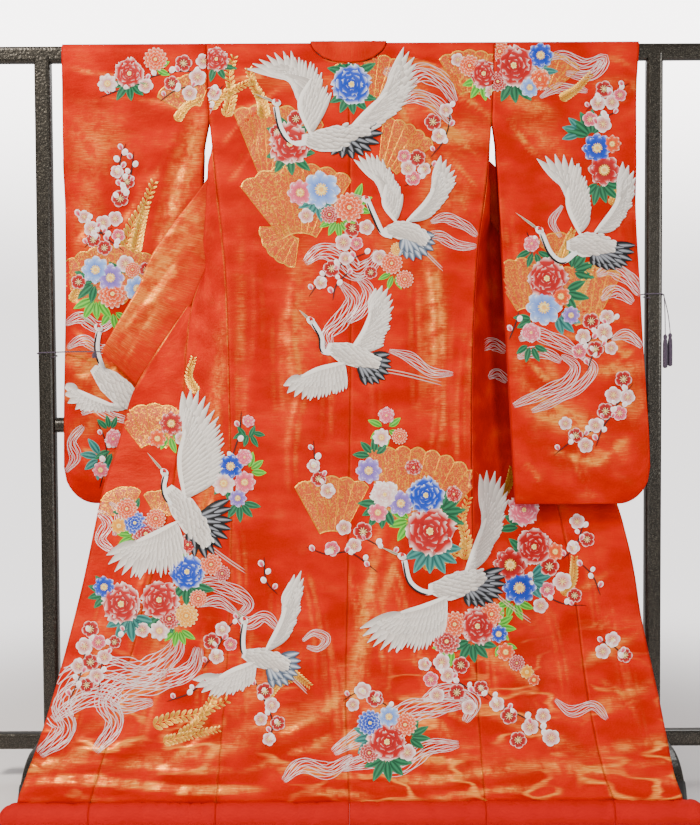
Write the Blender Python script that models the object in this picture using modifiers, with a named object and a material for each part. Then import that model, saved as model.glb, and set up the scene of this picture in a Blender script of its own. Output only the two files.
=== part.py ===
# A lined silk uchikake, hung by its shoulders on the top rail of a metal kimono stand,
# with its back to the viewer and both fronts spread to the sides.
# X runs to the viewer's right, Y away from the viewer, Z up. Metres.
# Side -1 is the wearer's left, at -X, and side +1 the wearer's right.
import math

import bmesh
import bpy
import numpy as np
from mathutils import Vector

for old in list(bpy.data.objects):
    bpy.data.objects.remove(old, do_unlink=True)

# Cloth
cloth_wall = 0.0025
collar_wall = 0.0035
seam_gap = 0.0004
shoulder_top = 1.700
shoulder_half = 0.018
neck_half = 0.088
hem_height = 0.060
hem_reach = 0.373
side_seam_top = 1.361
collar_width = 0.110
collar_half = 0.0195
collar_top = 1.7035
panel_columns = 9
okumi_columns = 5
collar_columns = 9

# Padded hem roll
roll_radius = 0.0293
roll_height = 0.0300
roll_sides = 12
roll_end = 0.745

# Stand
post_out = 0.699
tube = 0.037
tube_round = 0.008
rail_half = 0.860
rail_drop = 0.0045
top_rail_tall = 0.038
top_rail_deep = 0.030
cradle_rise = 0.014
middle_rail_z = 0.8295
middle_rail_radius = 0.0175
lower_rail_z = 0.0926
foot_straight = 0.165
foot_reach = 0.1215
foot_rise = 0.0945
cap_height = 0.045
cap_extra = 0.0015
fit = 0.0003

# Outlines of the hanging cloth. Each row is (height z, distance out from the middle).
side_seam = {
    -1: [(0.060, 0.2844), (0.244, 0.2720), (0.369, 0.2651), (0.564, 0.2613), (0.932, 0.2694),
         (1.167, 0.2791), (1.361, 0.2991), (1.452, 0.3089), (1.526, 0.3184), (1.700, 0.3230)],
    1: [(0.060, 0.2782), (0.155, 0.2721), (0.270, 0.2683), (0.460, 0.2658), (0.714, 0.2661),
        (0.888, 0.2688), (1.044, 0.2754), (1.224, 0.2888), (1.361, 0.3082), (1.526, 0.3252),
        (1.700, 0.3321)],
}
# The centre back seam wanders a little. Rows are (z, x).
centre_seam = [(0.060, -0.0063), (0.244, -0.0127), (0.518, -0.0065), (1.167, 0.0023),
               (1.500, 0.0010), (1.640, 0.0000), (1.720, 0.0000)]
# Seam of the front with the okumi and, above the okumi's point, with the collar.
# Rows are (z, out, depth y).
front_seam = {
    -1: [(0.060, 0.5482, -0.372), (0.176, 0.5161, -0.332), (0.286, 0.4888, -0.290),
         (0.483, 0.4414, -0.227), (0.669, 0.3972, -0.170), (0.898, 0.3718, -0.109),
         (1.019, 0.3671, -0.085), (1.112, 0.3550, -0.066), (1.250, 0.2912, -0.044),
         (1.360, 0.2404, -0.026), (1.500, 0.1757, -0.002), (1.600, 0.1294, 0.013),
         (1.681, 0.0920, 0.018)],
    1: [(0.060, 0.5461, -0.372), (0.126, 0.5262, -0.337), (0.276, 0.5075, -0.246),
        (0.479, 0.4961, -0.136), (0.656, 0.4703, -0.054), (0.884, 0.4292, -0.026),
        (1.114, 0.3880, 0.007), (1.218, 0.3680, 0.020), (1.360, 0.2833, 0.022),
        (1.500, 0.1999, 0.020), (1.600, 0.1403, 0.018), (1.681, 0.0920, 0.018)],
}
# Free edge of the okumi, and its slanted top under the collar. Rows are (z, out, y).
free_edge = {
    -1: [(0.060, 0.7025, -0.374), (0.232, 0.6474, -0.307), (0.559, 0.5748, -0.182),
         (0.670, 0.5581, -0.144), (0.817, 0.5143, -0.104), (0.922, 0.4844, -0.088),
         (1.112, 0.3550, -0.066)],
    1: [(0.060, 0.6921, -0.374), (0.106, 0.6781, -0.349), (0.198, 0.6692, -0.286),
        (0.291, 0.6589, -0.225), (0.362, 0.6468, -0.183), (0.547, 0.6313, -0.090),
        (0.662, 0.6017, -0.047), (0.831, 0.5528, -0.030), (1.033, 0.4984, 0.000),
        (1.218, 0.3680, 0.020)],
}
okumi_point = {-1: 1.112, 1: 1.218}
okumi_corner = {-1: 0.922, 1: 1.033}
# How a front swings out of the straight line between its two seams, as the pull on two
# handles. Rows are (z, first out, first back, second out, second back).
front_swing = {
    -1: [(0.300, 0.000, 0.000, 0.000, 0.000), (0.920, 0.000, 0.000, 0.000, 0.000),
         (1.112, 0.008, -0.002, 0.002, -0.001), (1.175, 0.028, -0.004, 0.012, -0.002),
         (1.250, 0.056, -0.005, 0.054, -0.004), (1.360, 0.070, -0.006, 0.056, 0.000),
         (1.420, 0.070, -0.004, 0.060, 0.004), (1.480, 0.040, 0.012, 0.012, 0.002),
         (1.545, 0.010, 0.004, 0.004, 0.000), (1.600, 0.000, 0.000, 0.000, 0.000)],
    1: [(0.250, 0.000, 0.000, 0.000, 0.000), (0.450, -0.010, 0.010, -0.012, 0.020),
        (0.650, -0.032, 0.020, -0.051, 0.060), (0.830, -0.027, 0.020, -0.041, 0.057),
        (1.050, -0.019, 0.028, -0.030, 0.039), (1.220, -0.010, 0.020, -0.030, 0.020),
        (1.360, 0.030, 0.000, 0.035, 0.000), (1.420, 0.024, 0.004, 0.016, 0.000),
        (1.480, 0.010, 0.003, 0.006, 0.000), (1.540, 0.000, 0.000, 0.000, 0.000)],
}
# Depth of a front's outer edge above the side seam. Rows are (z, y).
front_side = [(1.361, -0.0467), (1.420, -0.0386), (1.480, -0.0180), (1.526, 0.0000),
              (1.620, 0.0150), (1.660, 0.0180), (1.720, 0.0180)]
# Free edge of the collar below the neck. Rows are (seam z, out, y, z).
collar_edge = {
    -1: [(0.922, 0.5602, -0.090, 0.999), (1.030, 0.5185, -0.078, 1.074),
         (1.112, 0.4760, -0.062, 1.150), (1.180, 0.4550, -0.054, 1.205),
         (1.240, 0.4180, -0.046, 1.265), (1.300, 0.3720, -0.036, 1.325),
         (1.360, 0.3280, -0.026, 1.385), (1.400, 0.2950, 0.012, 1.440),
         (1.460, 0.2450, 0.058, 1.485), (1.530, 0.1800, 0.095, 1.515),
         (1.600, 0.1050, 0.098, 1.545), (1.660, 0.0550, 0.060, 1.585)],
    1: [(1.033, 0.5797, 0.012, 1.107), (1.130, 0.5120, 0.020, 1.205),
        (1.218, 0.4400, 0.030, 1.290), (1.300, 0.3780, 0.036, 1.372),
        (1.360, 0.3380, 0.045, 1.425), (1.400, 0.3050, 0.062, 1.455),
        (1.460, 0.2550, 0.090, 1.490), (1.530, 0.1850, 0.112, 1.515),
        (1.600, 0.1120, 0.100, 1.545), (1.660, 0.0550, 0.060, 1.585)],
}
# Sleeves. Edge rows are (z, out), hang rows are (z, middle depth y, half the space inside).
sleeve_inner = {
    -1: [(0.640, 0.3600), (1.200, 0.3450), (1.360, 0.3350), (1.450, 0.3310), (1.526, 0.3184),
         (1.700, 0.3230)],
    1: [(0.640, 0.3703), (0.885, 0.3601), (1.169, 0.3496), (1.360, 0.3400), (1.450, 0.3345),
        (1.526, 0.3252), (1.700, 0.3321)],
}
sleeve_outer = {
    -1: [(0.640, 0.6530), (0.813, 0.6530), (1.113, 0.6500), (1.566, 0.6530), (1.700, 0.6530)],
    1: [(0.640, 0.6760), (0.793, 0.6745), (0.885, 0.6710), (1.112, 0.6630), (1.338, 0.6550),
        (1.563, 0.6550), (1.700, 0.6620)],
}
sleeve_hang = {
    -1: [(0.650, -0.060, 0.0140), (0.830, -0.050, 0.0150), (1.000, -0.036, 0.0160),
         (1.200, -0.014, 0.0165), (1.370, -0.004, 0.0170), (1.526, -0.002, 0.0175),
         (1.700, 0.000, 0.0180)],
    1: [(0.650, -0.100, 0.0140), (0.830, -0.078, 0.0150), (1.030, -0.046, 0.0160),
        (1.200, -0.028, 0.0165), (1.370, -0.010, 0.0170), (1.526, -0.003, 0.0175),
        (1.700, 0.000, 0.0180)],
}
sleeve_bottom = {-1: 0.655, 1: 0.652}
sleeve_round = (0.075, 0.085)
sleeve_join = 1.526
cuff_open = 1.440
sleeve_edge_half = 0.003

# Heights of the rows of points, hem to shoulder.
heights = [0.060, 0.110, 0.170, 0.240, 0.320, 0.410, 0.500, 0.600, 0.700, 0.800, 0.900,
           1.000, 1.090, 1.175, 1.250, 1.305, 1.361, 1.420, 1.480, 1.545, 1.610]
# The back neckline. Rows are (inner out, inner z, outer z).
neckline = [(0.000, 1.652, 1.646), (0.030, 1.6545, 1.658), (0.058, 1.664, 1.669),
            (0.078, 1.680, 1.681)]
# Over the rail. Rows are (y, z, inner out).
over_rail = [(-0.0165, 1.6925, 0.0845), (-0.0095, 1.6985, 0.0872), (0.0, 1.7000, 0.0880),
             (0.0095, 1.6985, 0.0885), (0.0165, 1.6925, 0.0895), (0.0180, 1.6810, 0.0920)]

red_satin = (0.83, 0.035, 0.018)
red_crepe = (0.80, 0.022, 0.014)
hammered = (0.035, 0.031, 0.026)
rubber = (0.012, 0.012, 0.012)
violet = (0.025, 0.012, 0.032)

model = bpy.data.collections.new("uchikake_on_stand")
bpy.context.scene.collection.children.link(model)
guides = bpy.data.collections.new("cutters")
bpy.context.scene.collection.children.link(guides)


def smooth_at(rows, at, column=1):
    """Value of a column at a height, on a curve that passes through every row."""
    xs = [row[0] for row in rows]
    ys = [row[column] for row in rows]
    if at <= xs[0]:
        return ys[0]
    if at >= xs[-1]:
        return ys[-1]
    i = max(k for k in range(len(xs) - 1) if xs[k] <= at)
    step = xs[i + 1] - xs[i]
    t = (at - xs[i]) / step

    def slope(k):
        if k == 0 or k == len(xs) - 1:
            a, b = (0, 1) if k == 0 else (k - 1, k)
            return (ys[b] - ys[a]) / (xs[b] - xs[a])
        before = (ys[k] - ys[k - 1]) / (xs[k] - xs[k - 1])
        after = (ys[k + 1] - ys[k]) / (xs[k + 1] - xs[k])
        if before * after <= 0:
            return 0.0
        return 2 * before * after / (before + after)

    h00 = 2 * t ** 3 - 3 * t ** 2 + 1
    h10 = t ** 3 - 2 * t ** 2 + t
    h01 = 3 * t ** 2 - 2 * t ** 3
    h11 = t ** 3 - t ** 2
    return h00 * ys[i] + h10 * step * slope(i) + h01 * ys[i + 1] + h11 * step * slope(i + 1)


def ease(low, high, value):
    t = min(1.0, max(0.0, (value - low) / (high - low)))
    return t * t * (3 - 2 * t)


def back_depth(z):
    """The back leaves the rail straight down and reaches forward to the hem."""
    fall = max(0.0, (1.66 - z) / 1.59)
    return -shoulder_half - 0.352 * fall ** 1.5


def drape(x, z):
    """Soft hanging folds, shared by every panel, so that seams stay together."""
    share = ease(1.25, 0.35, z) if z < 1.25 else 0.0
    share *= 0.45 + 0.55 * ease(0.06, 0.40, z)
    wide = 0.0060 * math.sin(2 * math.pi * x / 0.23 + 0.6 + 1.1 * z)
    narrow = 0.0035 * math.sin(2 * math.pi * x / 0.14 + 2.0 - 1.7 * z)
    return share * (wide + narrow)


def seam_point(rows, side, z):
    out = smooth_at(rows, z, 1)
    return np.array([side * out, smooth_at(rows, z, 2), z])


def draped(point):
    return np.array([point[0], point[1] + drape(point[0], point[2]), point[2]])


def back_row(side, inner_x, inner_z, outer_z):
    outer_x = side * smooth_at(side_seam[side], outer_z)
    row = []
    for i in range(panel_columns + 1):
        u = i / panel_columns
        x = inner_x + (outer_x - inner_x) * u
        z = inner_z + (outer_z - inner_z) * u
        hollow = 0.004 * math.sin(math.pi * u) * ease(1.62, 1.35, z)
        row.append(draped((x, back_depth(z) + hollow * math.sin(9 * x + 5 * z), z)))
    return row


def front_row(side, z):
    """From the side seam out, round the soft fold, and on to the front seam."""
    start_out = smooth_at(side_seam[side], z)
    start_y = back_depth(z) if z <= side_seam_top else smooth_at(front_side, z)
    start = np.array([start_out, start_y])
    end = np.array([smooth_at(front_seam[side], z, 1), smooth_at(front_seam[side], z, 2)])
    swing = [smooth_at(front_swing[side], z, k) for k in (1, 2, 3, 4)]
    first = start + (end - start) / 3 + np.array(swing[:2])
    second = start + (end - start) * 2 / 3 + np.array(swing[2:])
    if z <= 1.45:
        # The more the front turns away behind, the further its wall stands off the back.
        turn = abs(first[1] - start[1]) / np.linalg.norm(first - start)
        clear = seam_gap + 0.0005 * ease(1.30, side_seam_top, z)
        start = start + np.array([clear + cloth_wall / 2 * turn, 0.0])
    row = []
    for i in range(panel_columns + 1):
        t = 1 - i / panel_columns
        spot = ((1 - t) ** 3 * start + 3 * (1 - t) ** 2 * t * first
                + 3 * (1 - t) * t ** 2 * second + t ** 3 * end)
        row.append(draped((side * spot[0], spot[1], z)))
    return row


def body_rows(side):
    rows = []
    for z in heights:
        middle = smooth_at(centre_seam, z) + side * seam_gap / 2
        rows.append(back_row(side, middle, z, z))
    for inner_out, inner_z, outer_z in neckline:
        inner = side * max(inner_out, seam_gap / 2)
        rows.append(back_row(side, inner, inner_z, outer_z))
    for y, z, inner_out in over_rail:
        inner = side * inner_out
        outer = side * smooth_at(side_seam[side], z)
        rows.append([np.array([inner + (outer - inner) * i / panel_columns, y, z])
                     for i in range(panel_columns + 1)])
    for z in [1.655] + heights[::-1]:
        rows.append(front_row(side, z))
    return rows


def okumi_rows(side):
    point = okumi_point[side]
    levels = [z for z in heights if z < point - 0.015] + [point - 0.012]
    rows = []
    for z in levels:
        inner = seam_point(front_seam[side], side, z)
        outer = seam_point(free_edge[side], side, z)
        inner[0] += side * seam_gap * 1.6
        if z > okumi_corner[side]:
            share = (point - z) / (point - okumi_corner[side])
            corner = seam_point(free_edge[side], side, okumi_corner[side])
            top = seam_point(front_seam[side], side, point)
            outer = top + (corner - top) * share
            outer[0] += side * 0.004
        rows.append([draped(inner + (outer - inner) * i / okumi_columns)
                     for i in range(okumi_columns + 1)])
    return rows


def rail_path(length):
    """A point of the collar's way over the rail, from low behind the viewer's side."""
    corner = 0.014
    flat = collar_half - corner
    knee = collar_top - corner
    points = [(-collar_half, 1.640), (-collar_half, knee)]
    for k in range(1, 6):
        turn = math.pi / 2 * k / 5
        points.append((-flat - corner * math.cos(turn), knee + corner * math.sin(turn)))
    for k in range(0, 6):
        turn = math.pi / 2 * k / 5
        points.append((flat + corner * math.sin(turn), knee + corner * math.cos(turn)))
    points.append((collar_half, 1.400))
    points = np.array(points)
    runs = np.concatenate([[0], np.cumsum(np.hypot(*np.diff(points, axis=0).T))])
    return np.interp(length, runs, points[:, 0]), np.interp(length, runs, points[:, 1])


def collar_half_rows(side):
    """Stations from the centre back to the collar's end on one side."""
    rows = []
    knots = [(0.0, 1.652), (0.030, 1.6545), (0.058, 1.664), (0.078, 1.680), (0.0845, 1.6925)]
    knee = collar_top - (collar_half - 0.0055) - 1.640
    # Rows are (out at the seam, way along the rail path, out at the free edge).
    neck = [(out, np.interp(out, *zip(*knots)) - 1.640, free_out) for out, free_out in
            ((0.000, 0.000), (0.015, 0.011), (0.030, 0.021), (0.044, 0.029), (0.058, 0.035),
             (0.068, 0.040), (0.078, 0.043), (0.0845, 0.044))]
    neck += [(0.0862, knee + 0.010, 0.0445), (0.0872, knee + 0.019, 0.045),
             (0.0878, knee + 0.0275, 0.0455), (0.0882, knee + 0.036, 0.046),
             (0.0888, knee + 0.045, 0.047), (0.0897, knee + 0.055, 0.048),
             (0.0925, knee + 0.068, 0.050)]
    for out, start, free_out in neck:
        start += 0.0008 if start < knee else 0.0
        near = max(0.0, out - (0.0008 if out > 0.05 else 0.0))
        row = []
        for k in range(collar_columns + 1):
            share = k / collar_columns
            away_y, away_z = rail_path(start + collar_width * share)
            row.append(np.array([side * (near + (free_out - near) * share), away_y, away_z]))
        rows.append(row)
    corner, point = okumi_corner[side], okumi_point[side]
    levels = [1.650, 1.625, 1.600, 1.565, 1.530, 1.495, 1.460, 1.430, 1.395, 1.360, 1.305, 1.250]
    levels += [z for z in (1.180,) if z > point + 0.02]
    levels += [point + (corner - point) * k / 4 for k in range(5)]
    for z in levels:
        share = min(1.0, max(0.0, (point - z) / (point - corner)))
        seam = seam_point(front_seam[side], side, max(z, point))
        if share > 0:
            end = seam_point(free_edge[side], side, corner)
            seam = seam + (end - seam) * share
        inward = 0.0018 * ease(1.50, 1.62, z) + 0.0020 * ease(1.25, 1.10, z)
        back = 0.0044 - 0.0014 * ease(1.42, 1.55, z) - 0.0006 * ease(1.55, 1.65, z)
        back += 0.0010 * ease(1.25, 1.16, z)
        seam = seam + np.array([-side * inward, back, 0.0])
        free = np.array([side * smooth_at(collar_edge[side], z, 1),
                         smooth_at(collar_edge[side], z, 2),
                         smooth_at(collar_edge[side], z, 3)])
        row = [draped(seam + (free - seam) * k / collar_columns)
               for k in range(collar_columns + 1)]
        rows.append(row)
    return rows


def collar_rows():
    left = collar_half_rows(-1)
    right = collar_half_rows(1)
    return left[::-1] + right[1:]


def build_wall(name, rows, thickness, colour, extra_faces=(), even=True):
    """An open surface over rows of points, given its thickness by Solidify. A wall with
    tight folds is not evened out, which would draw their edges out to spikes."""
    across = len(rows[0])
    mesh = bpy.data.meshes.new(name)
    points = [tuple(p) for row in rows for p in row]
    faces = []
    for j in range(len(rows) - 1):
        for i in range(across - 1):
            a = j * across + i
            faces.append((a, a + 1, a + across + 1, a + across))
    faces += list(extra_faces)
    mesh.from_pydata(points, [], faces)
    mesh.validate()
    made = bmesh.new()
    made.from_mesh(mesh)
    bmesh.ops.recalc_face_normals(made, faces=made.faces)
    made.to_mesh(mesh)
    made.free()
    item = bpy.data.objects.new(name, mesh)
    model.objects.link(item)
    shell = item.modifiers.new("cloth_thickness", "SOLIDIFY")
    shell.thickness = thickness
    shell.offset = 0.0
    shell.use_even_offset = even
    finish(item, colour, 0.45, 0.0)
    return item


def finish(item, colour, roughness, metallic):
    """Gives a piece its own Principled material and smooth shading."""
    look = bpy.data.materials.new(item.name + "_material")
    look.use_nodes = True
    shader = look.node_tree.nodes["Principled BSDF"]
    shader.inputs["Base Color"].default_value = (*colour, 1.0)
    shader.inputs["Roughness"].default_value = roughness
    shader.inputs["Metallic"].default_value = metallic
    item.data.materials.append(look)
    if item.type == "MESH":
        item.data.shade_smooth()
        item.data.set_sharp_from_angle(angle=math.radians(40))


def sleeve_columns():
    return [0.0, 0.14, 0.30, 0.46, 0.62, 0.76, 0.86, 0.94, 1.0]


def sleeve_near(side, z):
    """The sleeve's inner edge: on the body's seam above, hanging free below it."""
    rows = side_seam[side] if z >= sleeve_join else sleeve_inner[side]
    return smooth_at(rows, z)


def sleeve_wall_point(side, face, u, step):
    """A point of one wall of a sleeve. face is -1 on the viewer's side and +1 behind.
    step is (z,) above the rounded bottom, or (share,) of the way down it."""
    bottom = sleeve_bottom[side]
    turn = 0.80
    kind, value = step
    inner_z = value if kind == "level" else turn
    low_in = sleeve_near(side, inner_z)
    low_out = smooth_at(sleeve_outer[side], inner_z)
    width = low_out - low_in
    out = low_in + width * u
    if kind == "level":
        z = value
    else:
        across, tall = sleeve_round
        edge = (1 - u) * width
        lift = 0.0
        if edge < across:
            lift = tall - tall * math.sqrt(max(0.0, 1 - (1 - edge / across) ** 2))
        z = turn + (bottom + lift - turn) * value
        sides = (sleeve_near(side, z), smooth_at(sleeve_outer[side], z))
        out = sides[0] + (sides[1] - sides[0]) * u
    middle = smooth_at(sleeve_hang[side], z, 1)
    half = smooth_at(sleeve_hang[side], z, 2)
    closing = ease(cuff_open, cuff_open - 0.12, z)
    roundness = math.sqrt(max(0.0, 1 - max(0.0, (u - 0.72) / 0.28) ** 2))
    half = sleeve_edge_half + (half - sleeve_edge_half) * (1 - closing * (1 - roundness))
    if kind == "share":
        near_bottom = max(0.0, (value - 0.55) / 0.45)
        half = sleeve_edge_half + (half - sleeve_edge_half) * math.sqrt(1 - near_bottom ** 2)
    y = middle + face * half
    if z > sleeve_join - 0.10:
        body_y = back_depth(z) if face < 0 else smooth_at(front_side, z)
        y += (body_y - y) * (1 - u) ** 2 * ease(sleeve_join - 0.10, sleeve_join, z)
    swell = 0.0035 * math.sin(math.pi * u) * math.sin(14 * out + 6 * z) * ease(1.55, 1.20, z)
    return np.array([side * (out + (0.0006 if z > 1.45 else 0.0) * (1 - u)), y + swell, z])


def build_sleeve(side):
    """A bag over the rail: two walls, joined over the top, at the bottom and at the outer
    edge below the cuff. The side towards the body and the cuff stay open."""
    steps = [("level", z) for z in (1.681, 1.655, 1.600, 1.526, 1.440, 1.350, 1.250, 1.140,
                                    1.030, 0.920, 0.800)]
    steps += [("share", s) for s in (0.35, 0.62, 0.82, 0.94, 1.0)]
    columns = sleeve_columns()
    viewer_wall = [[sleeve_wall_point(side, -1, u, s) for u in columns] for s in steps]
    rear_wall = [[sleeve_wall_point(side, 1, u, s) for u in columns] for s in steps]
    top = []
    for y, z, _ in over_rail[:5]:
        inner = sleeve_near(side, z) + 0.0006
        outer = smooth_at(sleeve_outer[side], z)
        top.append([np.array([side * (inner + (outer - inner) * u), y, z]) for u in columns])
    rows = viewer_wall[::-1] + top + rear_wall
    across = len(columns)
    last = len(rows) - 1
    extra = []
    for i in range(across - 1):
        extra.append((last * across + i, last * across + i + 1, i + 1, i))
    first_closed = [k for k, s in enumerate(steps) if s == ("level", cuff_open)][0]
    count = len(steps)
    for k in range(first_closed, count - 1):
        near = (count - 1 - k) * across + across - 1
        near_next = (count - 2 - k) * across + across - 1
        far = (count + len(top) + k) * across + across - 1
        far_next = (count + len(top) + k + 1) * across + across - 1
        extra.append((near, far, far_next, near_next))
    name = "sleeve_left" if side < 0 else "sleeve_right"
    build_wall(name, rows, cloth_wall, red_satin, extra)


def roll_line(x):
    """Middle of the padded roll: it follows the hem of the panels above it."""
    return -hem_reach - 0.003 + drape(x, hem_height)


def build_roll(name, start, end):
    """A stretch of the roll, turned over at the hem's two free ends."""
    length = end - start
    count = max(4, round(abs(length) / 0.042))
    places = [start + length * k / count for k in range(count + 1)]
    made = bmesh.new()
    rings = []
    for x in places:
        beyond = max(0.0, abs(x) - (roll_end - 0.045)) / 0.045
        swell = roll_radius * (1 - 0.62 * beyond ** 3)
        height = roll_height - (roll_radius - swell) * 0.9
        puff = 1 - 0.02 * (1 + math.sin(40 * x + 1))
        ring = []
        for k in range(roll_sides):
            angle = math.pi / 2 + 2 * math.pi * k / roll_sides
            y = roll_line(x) + swell * puff * math.cos(angle)
            z = height + swell * math.sin(angle)
            ring.append(made.verts.new((x, y, z)))
        rings.append(ring)
    for one, two in zip(rings, rings[1:]):
        for k in range(roll_sides):
            after = (k + 1) % roll_sides
            made.faces.new((one[k], two[k], two[after], one[after]))
    made.faces.new(rings[0])
    made.faces.new(rings[-1][::-1])
    bmesh.ops.recalc_face_normals(made, faces=made.faces)
    mesh = bpy.data.meshes.new(name)
    made.to_mesh(mesh)
    made.free()
    item = bpy.data.objects.new(name, mesh)
    model.objects.link(item)
    finish(item, red_crepe, 0.8, 0.0)


def rounded_bar(name, size, location, radius, axis, colour):
    """A box whose long edges are rounded."""
    made = bmesh.new()
    bmesh.ops.create_cube(made, size=1.0)
    for corner in made.verts:
        corner.co = Vector([corner.co[k] * size[k] for k in range(3)])
    long_edges = [e for e in made.edges
                  if abs((e.verts[0].co - e.verts[1].co).normalized()[axis]) > 0.9]
    bmesh.ops.bevel(made, geom=long_edges, offset=radius, segments=3, profile=0.5,
                    affect="EDGES", clamp_overlap=True)
    mesh = bpy.data.meshes.new(name)
    made.to_mesh(mesh)
    made.free()
    item = bpy.data.objects.new(name, mesh)
    item.location = location
    model.objects.link(item)
    finish(item, colour, 0.4, 0.85)
    return item


def build_post(side):
    """A post whose top is cut to a cradle for the rail, with rounded cheeks."""
    rail_middle = shoulder_top - rail_drop - top_rail_tall / 2
    rail_low = rail_middle - top_rail_tall / 2
    low = lower_rail_z + tube / 2 + fit
    high = rail_low + cradle_rise
    name = "post_left" if side < 0 else "post_right"
    item = rounded_bar(name, (tube, tube, high - low),
                       (side * post_out, 0.0, (low + high) / 2), tube_round, 2, hammered)
    bpy.ops.mesh.primitive_cube_add(size=1.0)
    cutter = bpy.context.active_object
    cutter.name = "cradle_cutter_" + name
    for home in list(cutter.users_collection):
        home.objects.unlink(cutter)
    guides.objects.link(cutter)
    notch = top_rail_tall
    for corner in cutter.data.vertices:
        corner.co = Vector((corner.co[0] * 0.08, corner.co[1] * (top_rail_deep + 2 * fit),
                            corner.co[2] * notch))
    cutter.location = (side * post_out, 0.0, rail_low - fit + notch / 2)
    cutter.hide_render = True
    cutter.display_type = "WIRE"
    cut = item.modifiers.new("rail_cradle", "BOOLEAN")
    cut.operation = "DIFFERENCE"
    cut.object = cutter


def square_profile(name, width, radius):
    """A rounded square drawn as a closed curve, to be swept along an arch."""
    shape = bpy.data.curves.new(name, "CURVE")
    shape.dimensions = "2D"
    line = shape.splines.new("POLY")
    spots = []
    inset = width / 2 - radius
    for corner in range(4):
        middle = math.pi / 4 + corner * math.pi / 2
        home = (math.copysign(inset, math.cos(middle)), math.copysign(inset, math.sin(middle)))
        for k in range(3):
            turn = corner * math.pi / 2 + k * math.pi / 4
            spots.append((home[0] + radius * math.cos(turn), home[1] + radius * math.sin(turn)))
    line.points.add(len(spots) - 1)
    for point, (x, y) in zip(line.points, spots[::-1]):
        point.co = (x, y, 0.0, 1.0)
    line.use_cyclic_u = True
    item = bpy.data.objects.new(name, shape)
    item.hide_render = True
    item.display_type = "WIRE"
    guides.objects.link(item)
    return item


def foot_path():
    """Middle line of a foot: straight out from the rail, then over and down to the floor."""
    points = [(tube / 2 + fit, foot_rise), (foot_straight, foot_rise)]
    for k in range(1, 10):
        angle = math.pi / 2 * k / 10
        points.append((foot_straight + foot_reach * math.sin(angle),
                       foot_rise * math.cos(angle)))
    return points + [(foot_straight + foot_reach, 0.005), (foot_straight + foot_reach, 0.0)]


def swept(name, path, profile, facing, side, colour, metallic):
    shape = bpy.data.curves.new(name, "CURVE")
    shape.dimensions = "3D"
    shape.bevel_mode = "OBJECT"
    shape.bevel_object = profile
    shape.use_fill_caps = True
    line = shape.splines.new("POLY")
    line.points.add(len(path) - 1)
    for spot, (reach, z) in zip(line.points, path):
        spot.co = (0.0, facing * reach, z, 1.0)
    item = bpy.data.objects.new(name, shape)
    item.location = (side * post_out, 0.0, 0.0)
    model.objects.link(item)
    finish(item, colour, 0.4, metallic)


def build_foot(side, facing):
    where = ("left" if side < 0 else "right") + ("_front" if facing < 0 else "_rear")
    path = foot_path()
    last = max(k for k, spot in enumerate(path) if spot[1] > cap_height)
    before, start = path[last - 1], path[last]
    run = math.hypot(start[0] - before[0], start[1] - before[1])
    back = fit / run
    joint = (start[0] + (before[0] - start[0]) * back, start[1] + (before[1] - start[1]) * back)
    # The cap sets out in the foot's own direction, so that their end faces are parallel.
    onward = (start[0] + (start[0] - before[0]) * 0.003 / run,
              start[1] + (start[1] - before[1]) * 0.003 / run)
    swept("foot_" + where, path[:last] + [joint], tube_profile, facing, side, hammered, 0.85)
    swept("foot_cap_" + where, [start, onward] + path[last + 1:], cap_profile, facing, side,
          rubber, 0.0)


def smooth_route(points, spacing):
    """Evenly spaced points on a smooth curve through the given ones."""
    points = [np.array(p) for p in points]
    padded = [2 * points[0] - points[1]] + points + [2 * points[-1] - points[-2]]
    fine = []
    for a, b, c, d in zip(padded, padded[1:], padded[2:], padded[3:]):
        for k in range(12):
            t = k / 12
            fine.append(0.5 * (2 * b + (c - a) * t + (2 * a - 5 * b + 4 * c - d) * t ** 2
                               + (3 * b - a - 3 * c + d) * t ** 3))
    fine.append(points[-1])
    fine = np.array(fine)
    runs = np.concatenate([[0], np.cumsum(np.linalg.norm(np.diff(fine, axis=0), axis=1))])
    count = max(2, round(runs[-1] / spacing))
    even = np.linspace(0, runs[-1], count + 1)
    return np.stack([np.interp(even, runs, fine[:, k]) for k in range(3)], axis=1)


def build_cord(name, points, radius, colour):
    shape = bpy.data.curves.new(name, "CURVE")
    shape.dimensions = "3D"
    shape.bevel_depth = radius
    shape.bevel_resolution = 2
    shape.use_fill_caps = True
    line = shape.splines.new("POLY")
    route = smooth_route(points, 4.5 * radius)
    line.points.add(len(route) - 1)
    for spot, place in zip(line.points, route):
        spot.co = (*place, 1.0)
    item = bpy.data.objects.new(name, shape)
    model.objects.link(item)
    finish(item, colour, 0.7, 0.0)


def turned(name, profile, location, colour, sides=12):
    """A profile of (radius, height), top to bottom, spun about Z."""
    mesh = bpy.data.meshes.new(name)
    mesh.from_pydata([(r, 0.0, z) for r, z in profile], [(k, k + 1) for k in
                                                         range(len(profile) - 1)], [])
    item = bpy.data.objects.new(name, mesh)
    item.location = location
    model.objects.link(item)
    spin = item.modifiers.new("turn", "SCREW")
    spin.steps = sides
    spin.render_steps = sides
    spin.use_merge_vertices = True
    spin.merge_threshold = 0.0001
    finish(item, colour, 0.85, 0.0)


tube_profile = square_profile("tube_profile", tube, tube_round)
cap_profile = square_profile("cap_profile", tube + 2 * cap_extra, tube_round)
for side, word in ((-1, "left"), (1, "right")):
    build_wall("body_" + word, body_rows(side), cloth_wall, red_satin, even=False)
    build_wall("okumi_" + word, okumi_rows(side), cloth_wall, red_satin)
    build_sleeve(side)
build_wall("collar", collar_rows(), collar_wall, red_satin)

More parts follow.
